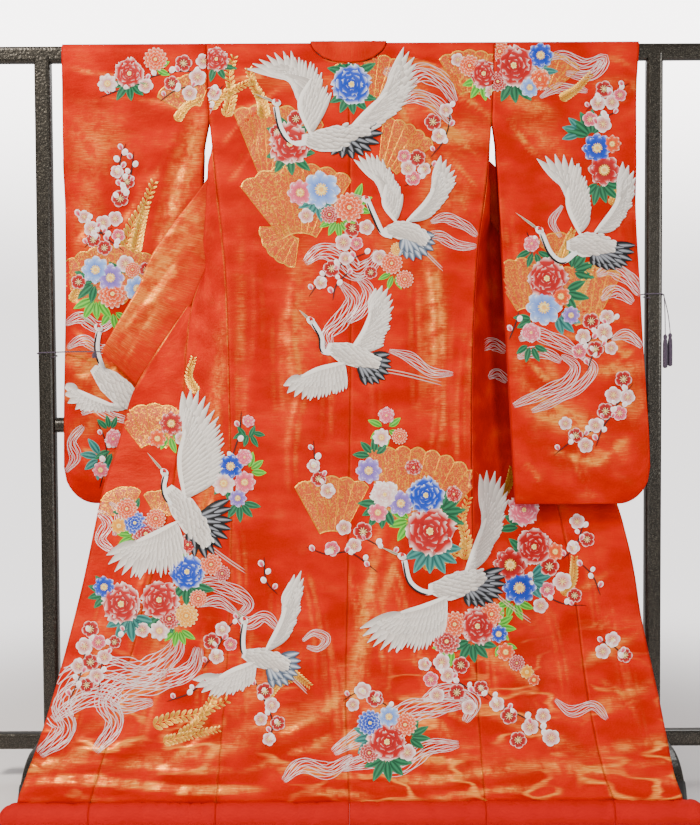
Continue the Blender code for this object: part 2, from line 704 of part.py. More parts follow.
half_gap = seam_gap / 2
middle_x = smooth_at(centre_seam, hem_height)
for side, word in ((-1, "left"), (1, "right")):
    marks = [middle_x, side * side_seam[side][0][1], side * front_seam[side][0][1],
             side * roll_end]
    for part, a, b in (("back", 0, 1), ("front", 1, 2), ("okumi", 2, 3)):
        last = marks[b] - (side * half_gap if b < 3 else 0.0)
        build_roll("hem_roll_" + part + "_" + word, marks[a] + side * half_gap, last)

rail_centre = shoulder_top - rail_drop - top_rail_tall / 2
rounded_bar("top_rail", (2 * rail_half, top_rail_deep, top_rail_tall), (0, 0, rail_centre),
            0.009, 0, hammered)
rounded_bar("lower_rail", (2 * rail_half, tube, tube), (0, 0, lower_rail_z), tube_round, 0,
            hammered)
bpy.ops.mesh.primitive_cylinder_add(vertices=20, radius=middle_rail_radius,
                                    depth=2 * (post_out - tube / 2 - fit),
                                    location=(0, 0, middle_rail_z),
                                    rotation=(0, math.pi / 2, 0))
middle = bpy.context.active_object
middle.name = "middle_rail"
for home in list(middle.users_collection):
    home.objects.unlink(middle)
model.objects.link(middle)
finish(middle, hammered, 0.4, 0.85)
for side in (-1, 1):
    build_post(side)
    for facing in (-1, 1):
        build_foot(side, facing)

# The cords that spread the fronts. Each runs from a collar corner across the face of the
# post and once round it.
cord_radius = 0.0014
cord_seat = 0.0010
knot_out = 0.5755
corner_clear = {-1: 0.0016, 1: 0.0006}
tassel_cord_radius = 0.0011


def round_post(middle_x, turn, start_z, end_z):
    """Points of one loop round a post, from the middle of its face towards the viewer.
    turn is +1 when the loop goes to -X first and -1 when it goes to +X first."""
    stand_off = tube / 2 + cord_radius + cord_seat
    bend = tube_round + cord_radius + cord_seat
    flat = stand_off - bend
    spots = []
    for corner in range(4):
        for k in range(3):
            angle = -math.pi / 2 - turn * (corner * math.pi / 2 + k * math.pi / 4)
            middle = -math.pi / 2 - turn * (corner * math.pi / 2 + math.pi / 4)
            home = (math.copysign(flat, math.cos(middle)), math.copysign(flat, math.sin(middle)))
            spots.append((middle_x + home[0] + bend * math.cos(angle),
                          home[1] + bend * math.sin(angle)))
    return [(x, y, start_z + (end_z - start_z) * k / 11) for k, (x, y) in enumerate(spots)]


def collar_corner(side):
    """Just outside the corner of the collar's end, where its cord is sewn on."""
    _, out, y, z = collar_edge[side][0]
    return draped((side * out, y, z)) + np.array([side * corner_clear[side], 0.0, 0.0])


left_route = ([collar_corner(-1), (-0.6250, -0.0640, 0.9992), (-0.6750, -0.0390, 0.9980)]
              + round_post(-post_out, 1, 0.9970, 0.9860))
build_cord("tie_cord_left", left_route, cord_radius, violet)
knot_profile = [(0.0, 0.0060), (0.0045, 0.0045), (0.0058, 0.0), (0.0045, -0.0050),
                (0.0, -0.0065)]
knot_spot = min(smooth_route(left_route, 0.001), key=lambda spot: abs(spot[0] + knot_out))
turned("tie_knot_left", knot_profile,
       knot_spot - np.array([0.0, 0.0, cord_radius + fit + knot_profile[0][1]]), violet, 10)
build_cord("tie_cord_right",
           [collar_corner(1), (0.6300, 0.0000, 1.1150), (0.6600, -0.0140, 1.1210),
            (0.6780, -0.0225, 1.1240)]
           + round_post(post_out, -1, 1.1250, 1.1150), cord_radius, violet)
# The tassels hang from the loop on the outer face of the right post.
loop_side = post_out + tube / 2 + cord_seat + 2 * cord_radius
for word, start_y, out, deep, top, low in (("a", -0.0070, 0.7250, -0.0120, 1.0330, 0.9540),
                                           ("b", -0.0005, 0.7375, -0.0060, 1.0360, 0.9580)):
    build_cord("tassel_cord_" + word, [
        (loop_side + tassel_cord_radius + fit, start_y, 1.1235),
        (loop_side * 0.7 + out * 0.3 + 0.0012, start_y * 0.6 + deep * 0.4, 1.1050),
        (loop_side * 0.3 + out * 0.7 + 0.0006, start_y * 0.2 + deep * 0.8, 1.0750),
        (out, deep, top + 0.0005)], tassel_cord_radius, violet)
    tall = top - low
    turned("tassel_" + word, [(0.0, 0.0), (0.0035, -0.001), (0.0054, -0.006), (0.0050, -0.012),
                              (0.0056, -0.030), (0.0058, -tall + 0.004), (0.0054, -tall),
                              (0.0, -tall + 0.001)], (out, deep, top), violet, 10)

# The whole model is centred front to back on the floor it stands on.
bpy.context.view_layer.update()
depths = []
reader = bpy.context.evaluated_depsgraph_get()
for item in model.objects:
    solid = item.evaluated_get(reader)
    shape = solid.to_mesh()
    depths += [(item.matrix_world @ v.co).y for v in shape.vertices]
    solid.to_mesh_clear()
shift = -(min(depths) + max(depths)) / 2
for item in list(model.objects) + list(guides.objects):
    item.location.y += shift
print("moved back by", round(shift, 5))
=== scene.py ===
# A lined silk uchikake on a metal kimono stand, seen from the robe's back.
# X to the viewer's right, Y away from the viewer, Z up, metres. "Left" is the wearer's left, at -X.
import math

import bpy
import numpy as np
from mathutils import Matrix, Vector
from mathutils.bvhtree import BVHTree


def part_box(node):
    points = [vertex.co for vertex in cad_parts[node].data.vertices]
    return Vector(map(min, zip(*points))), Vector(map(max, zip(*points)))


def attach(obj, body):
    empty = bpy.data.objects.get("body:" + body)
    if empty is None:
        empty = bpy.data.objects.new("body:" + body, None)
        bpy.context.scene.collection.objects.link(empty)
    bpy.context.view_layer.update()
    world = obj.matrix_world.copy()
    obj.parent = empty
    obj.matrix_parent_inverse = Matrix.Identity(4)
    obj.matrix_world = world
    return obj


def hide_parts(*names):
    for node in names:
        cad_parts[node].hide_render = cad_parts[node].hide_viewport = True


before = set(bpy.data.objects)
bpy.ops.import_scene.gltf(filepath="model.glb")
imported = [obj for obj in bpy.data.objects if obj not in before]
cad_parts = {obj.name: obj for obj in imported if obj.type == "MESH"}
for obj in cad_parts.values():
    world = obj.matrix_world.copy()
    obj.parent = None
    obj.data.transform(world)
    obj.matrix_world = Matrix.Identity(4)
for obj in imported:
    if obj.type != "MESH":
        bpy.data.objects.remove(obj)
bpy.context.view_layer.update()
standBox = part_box("post_left")
backShift = (standBox[0][1] + standBox[1][1]) / 2  # the stand's own plane, in the frame
sides = {"left": -1, "right": 1}
print("frame loaded, stand plane at", round(backShift, 4))

# Camera: the photograph's own, measured back from the stand's rails and posts.
camera = {"distance": 3.5, "height": 1.02, "pitch": 2.7, "roll": 0.3, "lens": 66.1,
          "focalPx": 1515.0, "middlePx": (349.0, 412.0)}


def makeCamera():
    data = bpy.data.cameras.new("photoCamera")
    data.lens = camera["lens"]
    data.sensor_width = 36
    item = bpy.data.objects.new("photoCamera", data)
    bpy.context.scene.collection.objects.link(item)
    item.location = (0.0, backShift - camera["distance"], camera["height"])
    item.rotation_euler = (math.radians(90 - camera["pitch"]), math.radians(camera["roll"]), 0.0)
    bpy.context.scene.camera = item


makeCamera()

# Small helpers


def smoothStep(low, high, value):
    t = np.clip((np.asarray(value, float) - low) / (high - low), 0.0, 1.0)
    return t * t * (3 - 2 * t)


def hermite(a, b, slopeA, slopeB, step, t):
    return ((2 * t**3 - 3 * t**2 + 1) * a + (t**3 - 2 * t**2 + t) * step * slopeA
            + (3 * t**2 - 2 * t**3) * b + (t**3 - t**2) * step * slopeB)


def gentleSlopes(values, marks):
    # the slope at a row is the harmonic mean of the rises beside it, and 0 where they turn
    shape = (-1,) + (1,) * (values.ndim - 1)
    rises = np.diff(values, axis=0) / np.diff(marks).reshape(shape)
    before, after = rises[:-1], rises[1:]
    same = before * after > 0
    middle = np.where(same, 2 * before * after / np.where(same, before + after, 1.0), 0.0)
    return np.concatenate([rises[:1], middle, rises[-1:]])


def smoothAt(rows, at, column=1):
    # a column of a table read at any height, on a curve through every row
    table = np.array([[row[0], row[column]] for row in rows], float)
    marks, values = table[:, 0], table[:, 1]
    slopes = gentleSlopes(values, marks)
    at = np.clip(np.asarray(at, float), marks[0], marks[-1])
    i = np.clip(np.searchsorted(marks, at, side="right") - 1, 0, len(marks) - 2)
    step = marks[i + 1] - marks[i]
    return hermite(values[i], values[i + 1], slopes[i], slopes[i + 1], step, (at - marks[i]) / step)


def refineGrid(grid, spacing):
    # more rows and then more columns, on smooth curves through the given points
    for _ in range(2):
        gaps = np.linalg.norm(np.diff(grid, axis=0), axis=2)
        lengths = np.maximum(gaps.mean(axis=1), 1e-5)
        marks = np.concatenate([[0.0], np.cumsum(lengths)])
        counts = np.maximum(1, np.ceil(gaps.max(axis=1) / spacing)).astype(int)
        at = np.concatenate([marks[k] + lengths[k] * np.arange(n) / n
                             for k, n in enumerate(counts)] + [marks[-1:]])
        slopes = gentleSlopes(grid, marks)
        i = np.clip(np.searchsorted(marks, at, side="right") - 1, 0, len(marks) - 2)
        step = (marks[i + 1] - marks[i])[:, None, None]
        t = ((at - marks[i])[:, None, None]) / step
        grid = hermite(grid[i], grid[i + 1], slopes[i], slopes[i + 1], step, t)
        grid = grid.transpose(1, 0, 2)
    return grid


# The robe's cut and hang. Heights z, distances out from the middle, depths y from the stand's plane.
cloth = {"wall": 0.0020, "collarWall": 0.0030, "spacing": 0.0066, "seamGap": 0.0004,
         "hemHeight": 0.060, "hemReach": 0.373, "sideSeamTop": 1.361, "shoulderHalf": 0.018,
         "shoulderTop": 1.700}
sideSeam = {
    -1: [(0.060, 0.2844), (0.244, 0.2720), (0.369, 0.2651), (0.564, 0.2613), (0.932, 0.2694),
         (1.167, 0.2791), (1.361, 0.2991), (1.452, 0.3089), (1.526, 0.3184), (1.700, 0.3230)],
    1: [(0.060, 0.2782), (0.155, 0.2721), (0.270, 0.2683), (0.460, 0.2658), (0.714, 0.2661),
        (0.888, 0.2688), (1.044, 0.2754), (1.224, 0.2888), (1.361, 0.3082), (1.526, 0.3252),
        (1.700, 0.3321)]}
centreSeam = [(0.060, -0.0063), (0.244, -0.0127), (0.518, -0.0065), (1.167, 0.0023),
              (1.500, 0.0010), (1.640, 0.0000), (1.720, 0.0000)]
frontSeam = {
    -1: [(0.060, 0.5482, -0.372), (0.176, 0.5161, -0.332), (0.286, 0.4888, -0.290),
         (0.483, 0.4414, -0.227), (0.669, 0.3972, -0.170), (0.898, 0.3718, -0.109),
         (1.019, 0.3671, -0.085), (1.112, 0.3550, -0.066), (1.250, 0.2912, -0.044),
         (1.360, 0.2404, -0.026), (1.500, 0.1757, -0.002), (1.600, 0.1294, 0.013),
         (1.681, 0.0920, 0.018)],
    1: [(0.060, 0.5461, -0.372), (0.126, 0.5262, -0.337), (0.276, 0.5075, -0.246),
        (0.479, 0.4961, -0.136), (0.656, 0.4703, -0.054), (0.884, 0.4292, -0.026),
        (1.114, 0.3880, 0.007), (1.218, 0.3680, 0.020), (1.360, 0.2833, 0.022),
        (1.500, 0.1999, 0.020), (1.600, 0.1403, 0.018), (1.681, 0.0920, 0.018)]}
freeEdge = {
    -1: [(0.060, 0.7025, -0.374), (0.232, 0.6474, -0.307), (0.559, 0.5748, -0.182),
         (0.670, 0.5581, -0.144), (0.817, 0.5143, -0.104), (0.922, 0.4844, -0.088),
         (1.112, 0.3550, -0.066)],
    1: [(0.060, 0.6921, -0.374), (0.106, 0.6781, -0.349), (0.198, 0.6692, -0.286),
        (0.291, 0.6589, -0.225), (0.362, 0.6468, -0.183), (0.547, 0.6313, -0.090),
        (0.662, 0.6017, -0.047), (0.831, 0.5528, -0.030), (1.033, 0.4984, 0.000),
        (1.218, 0.3680, 0.020)]}
okumiPoint = {-1: 1.112, 1: 1.218}
okumiCorner = {-1: 0.922, 1: 1.033}
# rows: z, first handle out and back, second handle out and back
frontSwing = {
    -1: [(0.300, 0.000, 0.000, 0.000, 0.000), (0.920, 0.000, 0.000, 0.000, 0.000),
         (1.112, 0.008, -0.002, 0.002, -0.001), (1.175, 0.028, -0.004, 0.012, -0.002),
         (1.250, 0.056, -0.005, 0.054, -0.004), (1.360, 0.070, -0.006, 0.056, 0.000),
         (1.420, 0.070, -0.004, 0.060, 0.004), (1.480, 0.040, 0.012, 0.012, 0.002),
         (1.545, 0.010, 0.004, 0.004, 0.000), (1.600, 0.000, 0.000, 0.000, 0.000)],
    1: [(0.250, 0.000, 0.000, 0.000, 0.000), (0.450, -0.010, 0.010, -0.012, 0.020),
        (0.650, -0.032, 0.020, -0.051, 0.060), (0.830, -0.027, 0.020, -0.041, 0.057),
        (1.050, -0.019, 0.028, -0.030, 0.039), (1.220, -0.010, 0.020, -0.030, 0.020),
        (1.360, 0.030, 0.000, 0.035, 0.000), (1.420, 0.024, 0.004, 0.016, 0.000),
        (1.480, 0.010, 0.003, 0.006, 0.000), (1.540, 0.000, 0.000, 0.000, 0.000)]}
frontSide = [(1.361, -0.0467), (1.420, -0.0386), (1.480, -0.0180), (1.526, 0.0000),
             (1.620, 0.0150), (1.660, 0.0180), (1.720, 0.0180)]
heights = [0.060, 0.110, 0.170, 0.240, 0.320, 0.410, 0.500, 0.600, 0.700, 0.800, 0.900,
           1.000, 1.090, 1.175, 1.250, 1.305, 1.361, 1.420, 1.480, 1.545, 1.610]
neckline = [(0.000, 1.652, 1.646), (0.030, 1.6545, 1.658), (0.058, 1.664, 1.669),
            (0.078, 1.680, 1.681)]
overRail = [(-0.0165, 1.6925, 0.0845), (-0.0095, 1.6985, 0.0872), (0.0, 1.7000, 0.0880),
            (0.0095, 1.6985, 0.0885), (0.0165, 1.6925, 0.0895), (0.0180, 1.6810, 0.0920)]


def backDepth(z):
    fall = np.maximum(0.0, (1.66 - np.asarray(z, float)) / 1.59)
    return -cloth["shoulderHalf"] - 0.352 * fall**1.5


def softDrape(x, z):
    # two slow waves down the length, shared by all the panels
    share = np.where(z < 1.25, smoothStep(1.25, 0.35, z), 0.0) * (0.45 + 0.55 * smoothStep(0.06, 0.40, z))
    return share * (0.0060 * np.sin(2 * np.pi * x / 0.23 + 0.6 + 1.1 * z)
                    + 0.0035 * np.sin(2 * np.pi * x / 0.14 + 2.0 - 1.7 * z))


def draped(points):
    points = np.array(points, float)
    points[..., 1] += softDrape(points[..., 0], points[..., 2])
    return points


def backRow(side, innerX, innerZ, outerZ):
    outerX = side * smoothAt(sideSeam[side], outerZ)
    u = np.linspace(0, 1, 10)
    x = innerX + (outerX - innerX) * u
    z = innerZ + (outerZ - innerZ) * u
    hollow = 0.004 * np.sin(np.pi * u) * smoothStep(1.62, 1.35, z)
    return draped(np.stack([x, backDepth(z) + hollow * np.sin(9 * x + 5 * z), z], axis=1))


def frontRow(side, z):
    # out from the side seam, round the soft fold, on to the front seam, as one Bezier span
    startY = backDepth(z) if z <= cloth["sideSeamTop"] else smoothAt(frontSide, z)
    start = np.array([smoothAt(sideSeam[side], z), startY])
    end = np.array([smoothAt(frontSeam[side], z, 1), smoothAt(frontSeam[side], z, 2)])
    swing = [float(smoothAt(frontSwing[side], z, k)) for k in (1, 2, 3, 4)]
    first = start + (end - start) / 3 + np.array(swing[:2])
    second = start + (end - start) * 2 / 3 + np.array(swing[2:])
    if z <= 1.45:
        turn = abs(first[1] - start[1]) / np.linalg.norm(first - start)
        clear = cloth["seamGap"] + 0.0005 * smoothStep(1.30, cloth["sideSeamTop"], z)
        start = start + np.array([clear + 0.00125 * turn, 0.0])
    t = np.linspace(1, 0, 10)[:, None]
    spot = ((1 - t)**3 * start + 3 * (1 - t)**2 * t * first + 3 * (1 - t) * t**2 * second + t**3 * end)
    return draped(np.stack([side * spot[:, 0], spot[:, 1], np.full(10, z)], axis=1))


def bodyParts(side):
    # coarse rows of the back, of the turn over the rail, and of the front down to its hem
    back = [backRow(side, smoothAt(centreSeam, z) + side * 0.0002, z, z) for z in heights]
    back += [backRow(side, side * max(out, 0.0002), innerZ, outerZ) for out, innerZ, outerZ in neckline]
    top = []
    for y, z, innerOut in overRail:
        x = side * np.linspace(innerOut, float(smoothAt(sideSeam[side], z)), 10)
        top.append(np.stack([x, np.full(10, y), np.full(10, z)], axis=1))
    front = [frontRow(side, z) for z in [1.655] + heights[::-1]]
    return back, top, front


def okumiRows(side):
    point, corner = okumiPoint[side], okumiCorner[side]
    rows = []
    for z in [h for h in heights if h < point - 0.015] + [point - 0.012]:
        inner = np.array([side * (smoothAt(frontSeam[side], z, 1) + 0.0006),
                          smoothAt(frontSeam[side], z, 2), z])
        outer = np.array([side * smoothAt(freeEdge[side], z, 1), smoothAt(freeEdge[side], z, 2), z])
        if z > corner:
            share = (point - z) / (point - corner)
            low = np.array([side * smoothAt(freeEdge[side], corner, 1),
                            smoothAt(freeEdge[side], corner, 2), corner])
            top = np.array([side * smoothAt(frontSeam[side], point, 1),
                            smoothAt(frontSeam[side], point, 2), point])
            outer = top + (low - top) * share + np.array([side * 0.004, 0, 0])
        rows.append(draped(inner + (outer - inner) * np.linspace(0, 1, 6)[:, None]))
    return np.array(rows)


# Collar: one band round the neck, over the rail and down both fronts.
collar = {"width": 0.110, "half": 0.0195, "top": 1.7035, "columns": 10}
collarEdge = {
    -1: [(0.922, 0.5602, -0.090, 0.999), (1.030, 0.5185, -0.078, 1.074),
         (1.112, 0.4760, -0.062, 1.150), (1.180, 0.4550, -0.054, 1.205),
         (1.240, 0.4180, -0.046, 1.265), (1.300, 0.3720, -0.036, 1.325),
         (1.360, 0.3280, -0.026, 1.385), (1.400, 0.2950, 0.012, 1.440),
         (1.460, 0.2450, 0.058, 1.485), (1.530, 0.1800, 0.095, 1.515),
         (1.600, 0.1050, 0.098, 1.545), (1.660, 0.0550, 0.060, 1.585)],
    1: [(1.033, 0.5797, 0.012, 1.107), (1.130, 0.5120, 0.020, 1.205),
        (1.218, 0.4400, 0.030, 1.290), (1.300, 0.3780, 0.036, 1.372),
        (1.360, 0.3380, 0.045, 1.425), (1.400, 0.3050, 0.062, 1.455),
        (1.460, 0.2550, 0.090, 1.490), (1.530, 0.1850, 0.112, 1.515),
        (1.600, 0.1120, 0.100, 1.545), (1.660, 0.0550, 0.060, 1.585)]}


def railPath(length):
    # the collar's way up the viewer's side of the rail, round its corners and down behind
    corner = 0.014
    flat, knee = collar["half"] - corner, collar["top"] - corner
    turn = np.pi / 2 * np.arange(1, 6) / 5
    rear = np.pi / 2 * np.arange(0, 6) / 5
    way = np.concatenate([
        [(-collar["half"], 1.640), (-collar["half"], knee)],
        np.stack([-flat - corner * np.cos(turn), knee + corner * np.sin(turn)], axis=1),
        np.stack([flat + corner * np.sin(rear), knee + corner * np.cos(rear)], axis=1),
        [(collar["half"], 1.400)]])
    runs = np.concatenate([[0], np.cumsum(np.hypot(*np.diff(way, axis=0).T))])
    return np.interp(length, runs, way[:, 0]), np.interp(length, runs, way[:, 1])


def collarHalf(side):
    knots = np.array([(0.0, 1.652), (0.030, 1.6545), (0.058, 1.664), (0.078, 1.680), (0.0845, 1.6925)])
    knee = collar["top"] - (collar["half"] - 0.0055) - 1.640
    neck = [(out, np.interp(out, knots[:, 0], knots[:, 1]) - 1.640, freeOut) for out, freeOut in
            ((0.000, 0.000), (0.015, 0.011), (0.030, 0.021), (0.044, 0.029), (0.058, 0.035),
             (0.068, 0.040), (0.078, 0.043), (0.0845, 0.044))]
    neck += [(0.0862, knee + 0.010, 0.0445), (0.0872, knee + 0.019, 0.045),
             (0.0878, knee + 0.0275, 0.0455), (0.0882, knee + 0.036, 0.046),
             (0.0888, knee + 0.045, 0.047), (0.0897, knee + 0.055, 0.048),
             (0.0925, knee + 0.068, 0.050)]
    share = np.linspace(0, 1, collar["columns"])
    rows = []
    for out, start, freeOut in neck:
        start += 0.0008 if start < knee else 0.0
        near = max(0.0, out - (0.0008 if out > 0.05 else 0.0))
        y, z = railPath(start + collar["width"] * share)
        rows.append(np.stack([side * (near + (freeOut - near) * share), y, z], axis=1))
    corner, point = okumiCorner[side], okumiPoint[side]
    levels = [1.650, 1.625, 1.600, 1.565, 1.530, 1.495, 1.460, 1.430, 1.395, 1.360, 1.305, 1.250]
    levels += [z for z in (1.180,) if z > point + 0.02] + [point + (corner - point) * k / 4 for k in range(5)]
    for z in levels:
        down = min(1.0, max(0.0, (point - z) / (point - corner)))
        high = max(z, point)
        seam = np.array([side * smoothAt(frontSeam[side], high, 1), smoothAt(frontSeam[side], high, 2), high])
        if down > 0:
            end = np.array([side * smoothAt(freeEdge[side], corner, 1),
                            smoothAt(freeEdge[side], corner, 2), corner])
            seam = seam + (end - seam) * down
        inward = 0.0018 * smoothStep(1.50, 1.62, z) + 0.0020 * smoothStep(1.25, 1.10, z)
        back = (0.0044 - 0.0014 * smoothStep(1.42, 1.55, z) - 0.0006 * smoothStep(1.55, 1.65, z)
                + 0.0010 * smoothStep(1.25, 1.16, z))
        seam = seam + np.array([-side * inward, back, 0.0])
        free = np.array([side * smoothAt(collarEdge[side], z, 1), smoothAt(collarEdge[side], z, 2),
                         smoothAt(collarEdge[side], z, 3)])
        rows.append(draped(seam + (free - seam) * share[:, None]))
    return rows


# Sleeves: a bag over the rail, open at the cuff and along the body side.
sleeve = {"join": 1.526, "cuffOpen": 1.440, "edgeHalf": 0.003, "round": (0.075, 0.085),
          "bottom": {-1: 0.655, 1: 0.652}, "bottomRoll": 0.065}
sleeveInner = {
    -1: [(0.640, 0.3600), (1.200, 0.3450), (1.360, 0.3350), (1.450, 0.3310), (1.526, 0.3184), (1.700, 0.3230)],
    1: [(0.640, 0.3703), (0.885, 0.3601), (1.169, 0.3496), (1.360, 0.3400), (1.450, 0.3345),
        (1.526, 0.3252), (1.700, 0.3321)]}
sleeveOuter = {
    -1: [(0.640, 0.6530), (0.813, 0.6530), (1.113, 0.6500), (1.566, 0.6530), (1.700, 0.6530)],
    1: [(0.640, 0.6760), (0.793, 0.6745), (0.885, 0.6710), (1.112, 0.6630), (1.338, 0.6550),
        (1.563, 0.6550), (1.700, 0.6620)]}
sleeveHang = {
    -1: [(0.650, -0.060, 0.0140), (0.830, -0.050, 0.0150), (1.000, -0.036, 0.0160),
         (1.200, -0.014, 0.0165), (1.370, -0.004, 0.0170), (1.526, -0.002, 0.0175), (1.700, 0.000, 0.0180)],
    1: [(0.650, -0.100, 0.0140), (0.830, -0.078, 0.0150), (1.030, -0.046, 0.0160),
        (1.200, -0.028, 0.0165), (1.370, -0.010, 0.0170), (1.526, -0.003, 0.0175), (1.700, 0.000, 0.0180)]}


def sleeveNear(side, z):
    return np.where(z >= sleeve["join"], smoothAt(sideSeam[side], z), smoothAt(sleeveInner[side], z))


def sleeveWall(side, face, u, z):
    # face -1 is the viewer's wall and +1 the one behind; both close to an edge below the cuff and at the bottom
    near, far = sleeveNear(side, z), smoothAt(sleeveOuter[side], z)
    out = near + (far - near) * u
    middle, half = smoothAt(sleeveHang[side], z, 1), smoothAt(sleeveHang[side], z, 2)
    closing = smoothStep(sleeve["cuffOpen"], sleeve["cuffOpen"] - 0.12, z)
    roundness = np.sqrt(np.clip(1 - np.clip((u - 0.72) / 0.28, 0, 1)**2, 0, 1))
    half = sleeve["edgeHalf"] + (half - sleeve["edgeHalf"]) * (1 - closing * (1 - roundness))
    across, tall = sleeve["round"]
    edge = (far - near) * (1 - u)
    lift = np.where(edge < across, tall - tall * np.sqrt(np.clip(1 - (1 - edge / across)**2, 0, 1)), 0.0)
    above = np.clip((z - sleeve["bottom"][side] - lift) / sleeve["bottomRoll"], 0, 1)
    half = sleeve["edgeHalf"] + (half - sleeve["edgeHalf"]) * np.sqrt(np.clip(1 - (1 - above)**2, 0, 1))
    y = middle + face * half
    bodyY = backDepth(z) if face < 0 else smoothAt(frontSide, z)
    y = y + (bodyY - y) * (1 - u)**2 * smoothStep(sleeve["join"] - 0.10, sleeve["join"], z)
    swell = 0.0035 * np.sin(np.pi * u) * np.sin(14 * out + 6 * z) * smoothStep(1.55, 1.20, z)
    return np.stack([side * (out + np.where(z > 1.45, 0.0006, 0.0) * (1 - u)), y + swell, z], axis=-1)


def sleeveWallGrid(side, face, spacing):
    # rows from under the shoulder down to the bottom edge, whose outer corner is an arc
    columns = np.linspace(0, 1, int(0.32 / spacing) + 1)
    turn = 0.80
    upper = np.linspace(1.681, turn, int((1.681 - turn) / spacing) + 1)
    u, z = np.meshgrid(columns, upper)
    top = sleeveWall(side, face, u, z)
    across, tall = sleeve["round"]
    bottom = sleeve["bottom"][side]
    share = np.sin(np.linspace(0, np.pi / 2, int((turn - bottom) / spacing * 1.3) + 1))[1:]
    u, s = np.meshgrid(columns, share)
    width = float(smoothAt(sleeveOuter[side], turn) - sleeveNear(side, turn))
    edge = (1 - u) * width
    lift = np.where(edge < across, tall - tall * np.sqrt(np.clip(1 - (1 - edge / across)**2, 0, 1)), 0.0)
    z = turn + (bottom + lift - turn) * s
    low = sleeveWall(side, face, u, z)
    return np.concatenate([top, low])


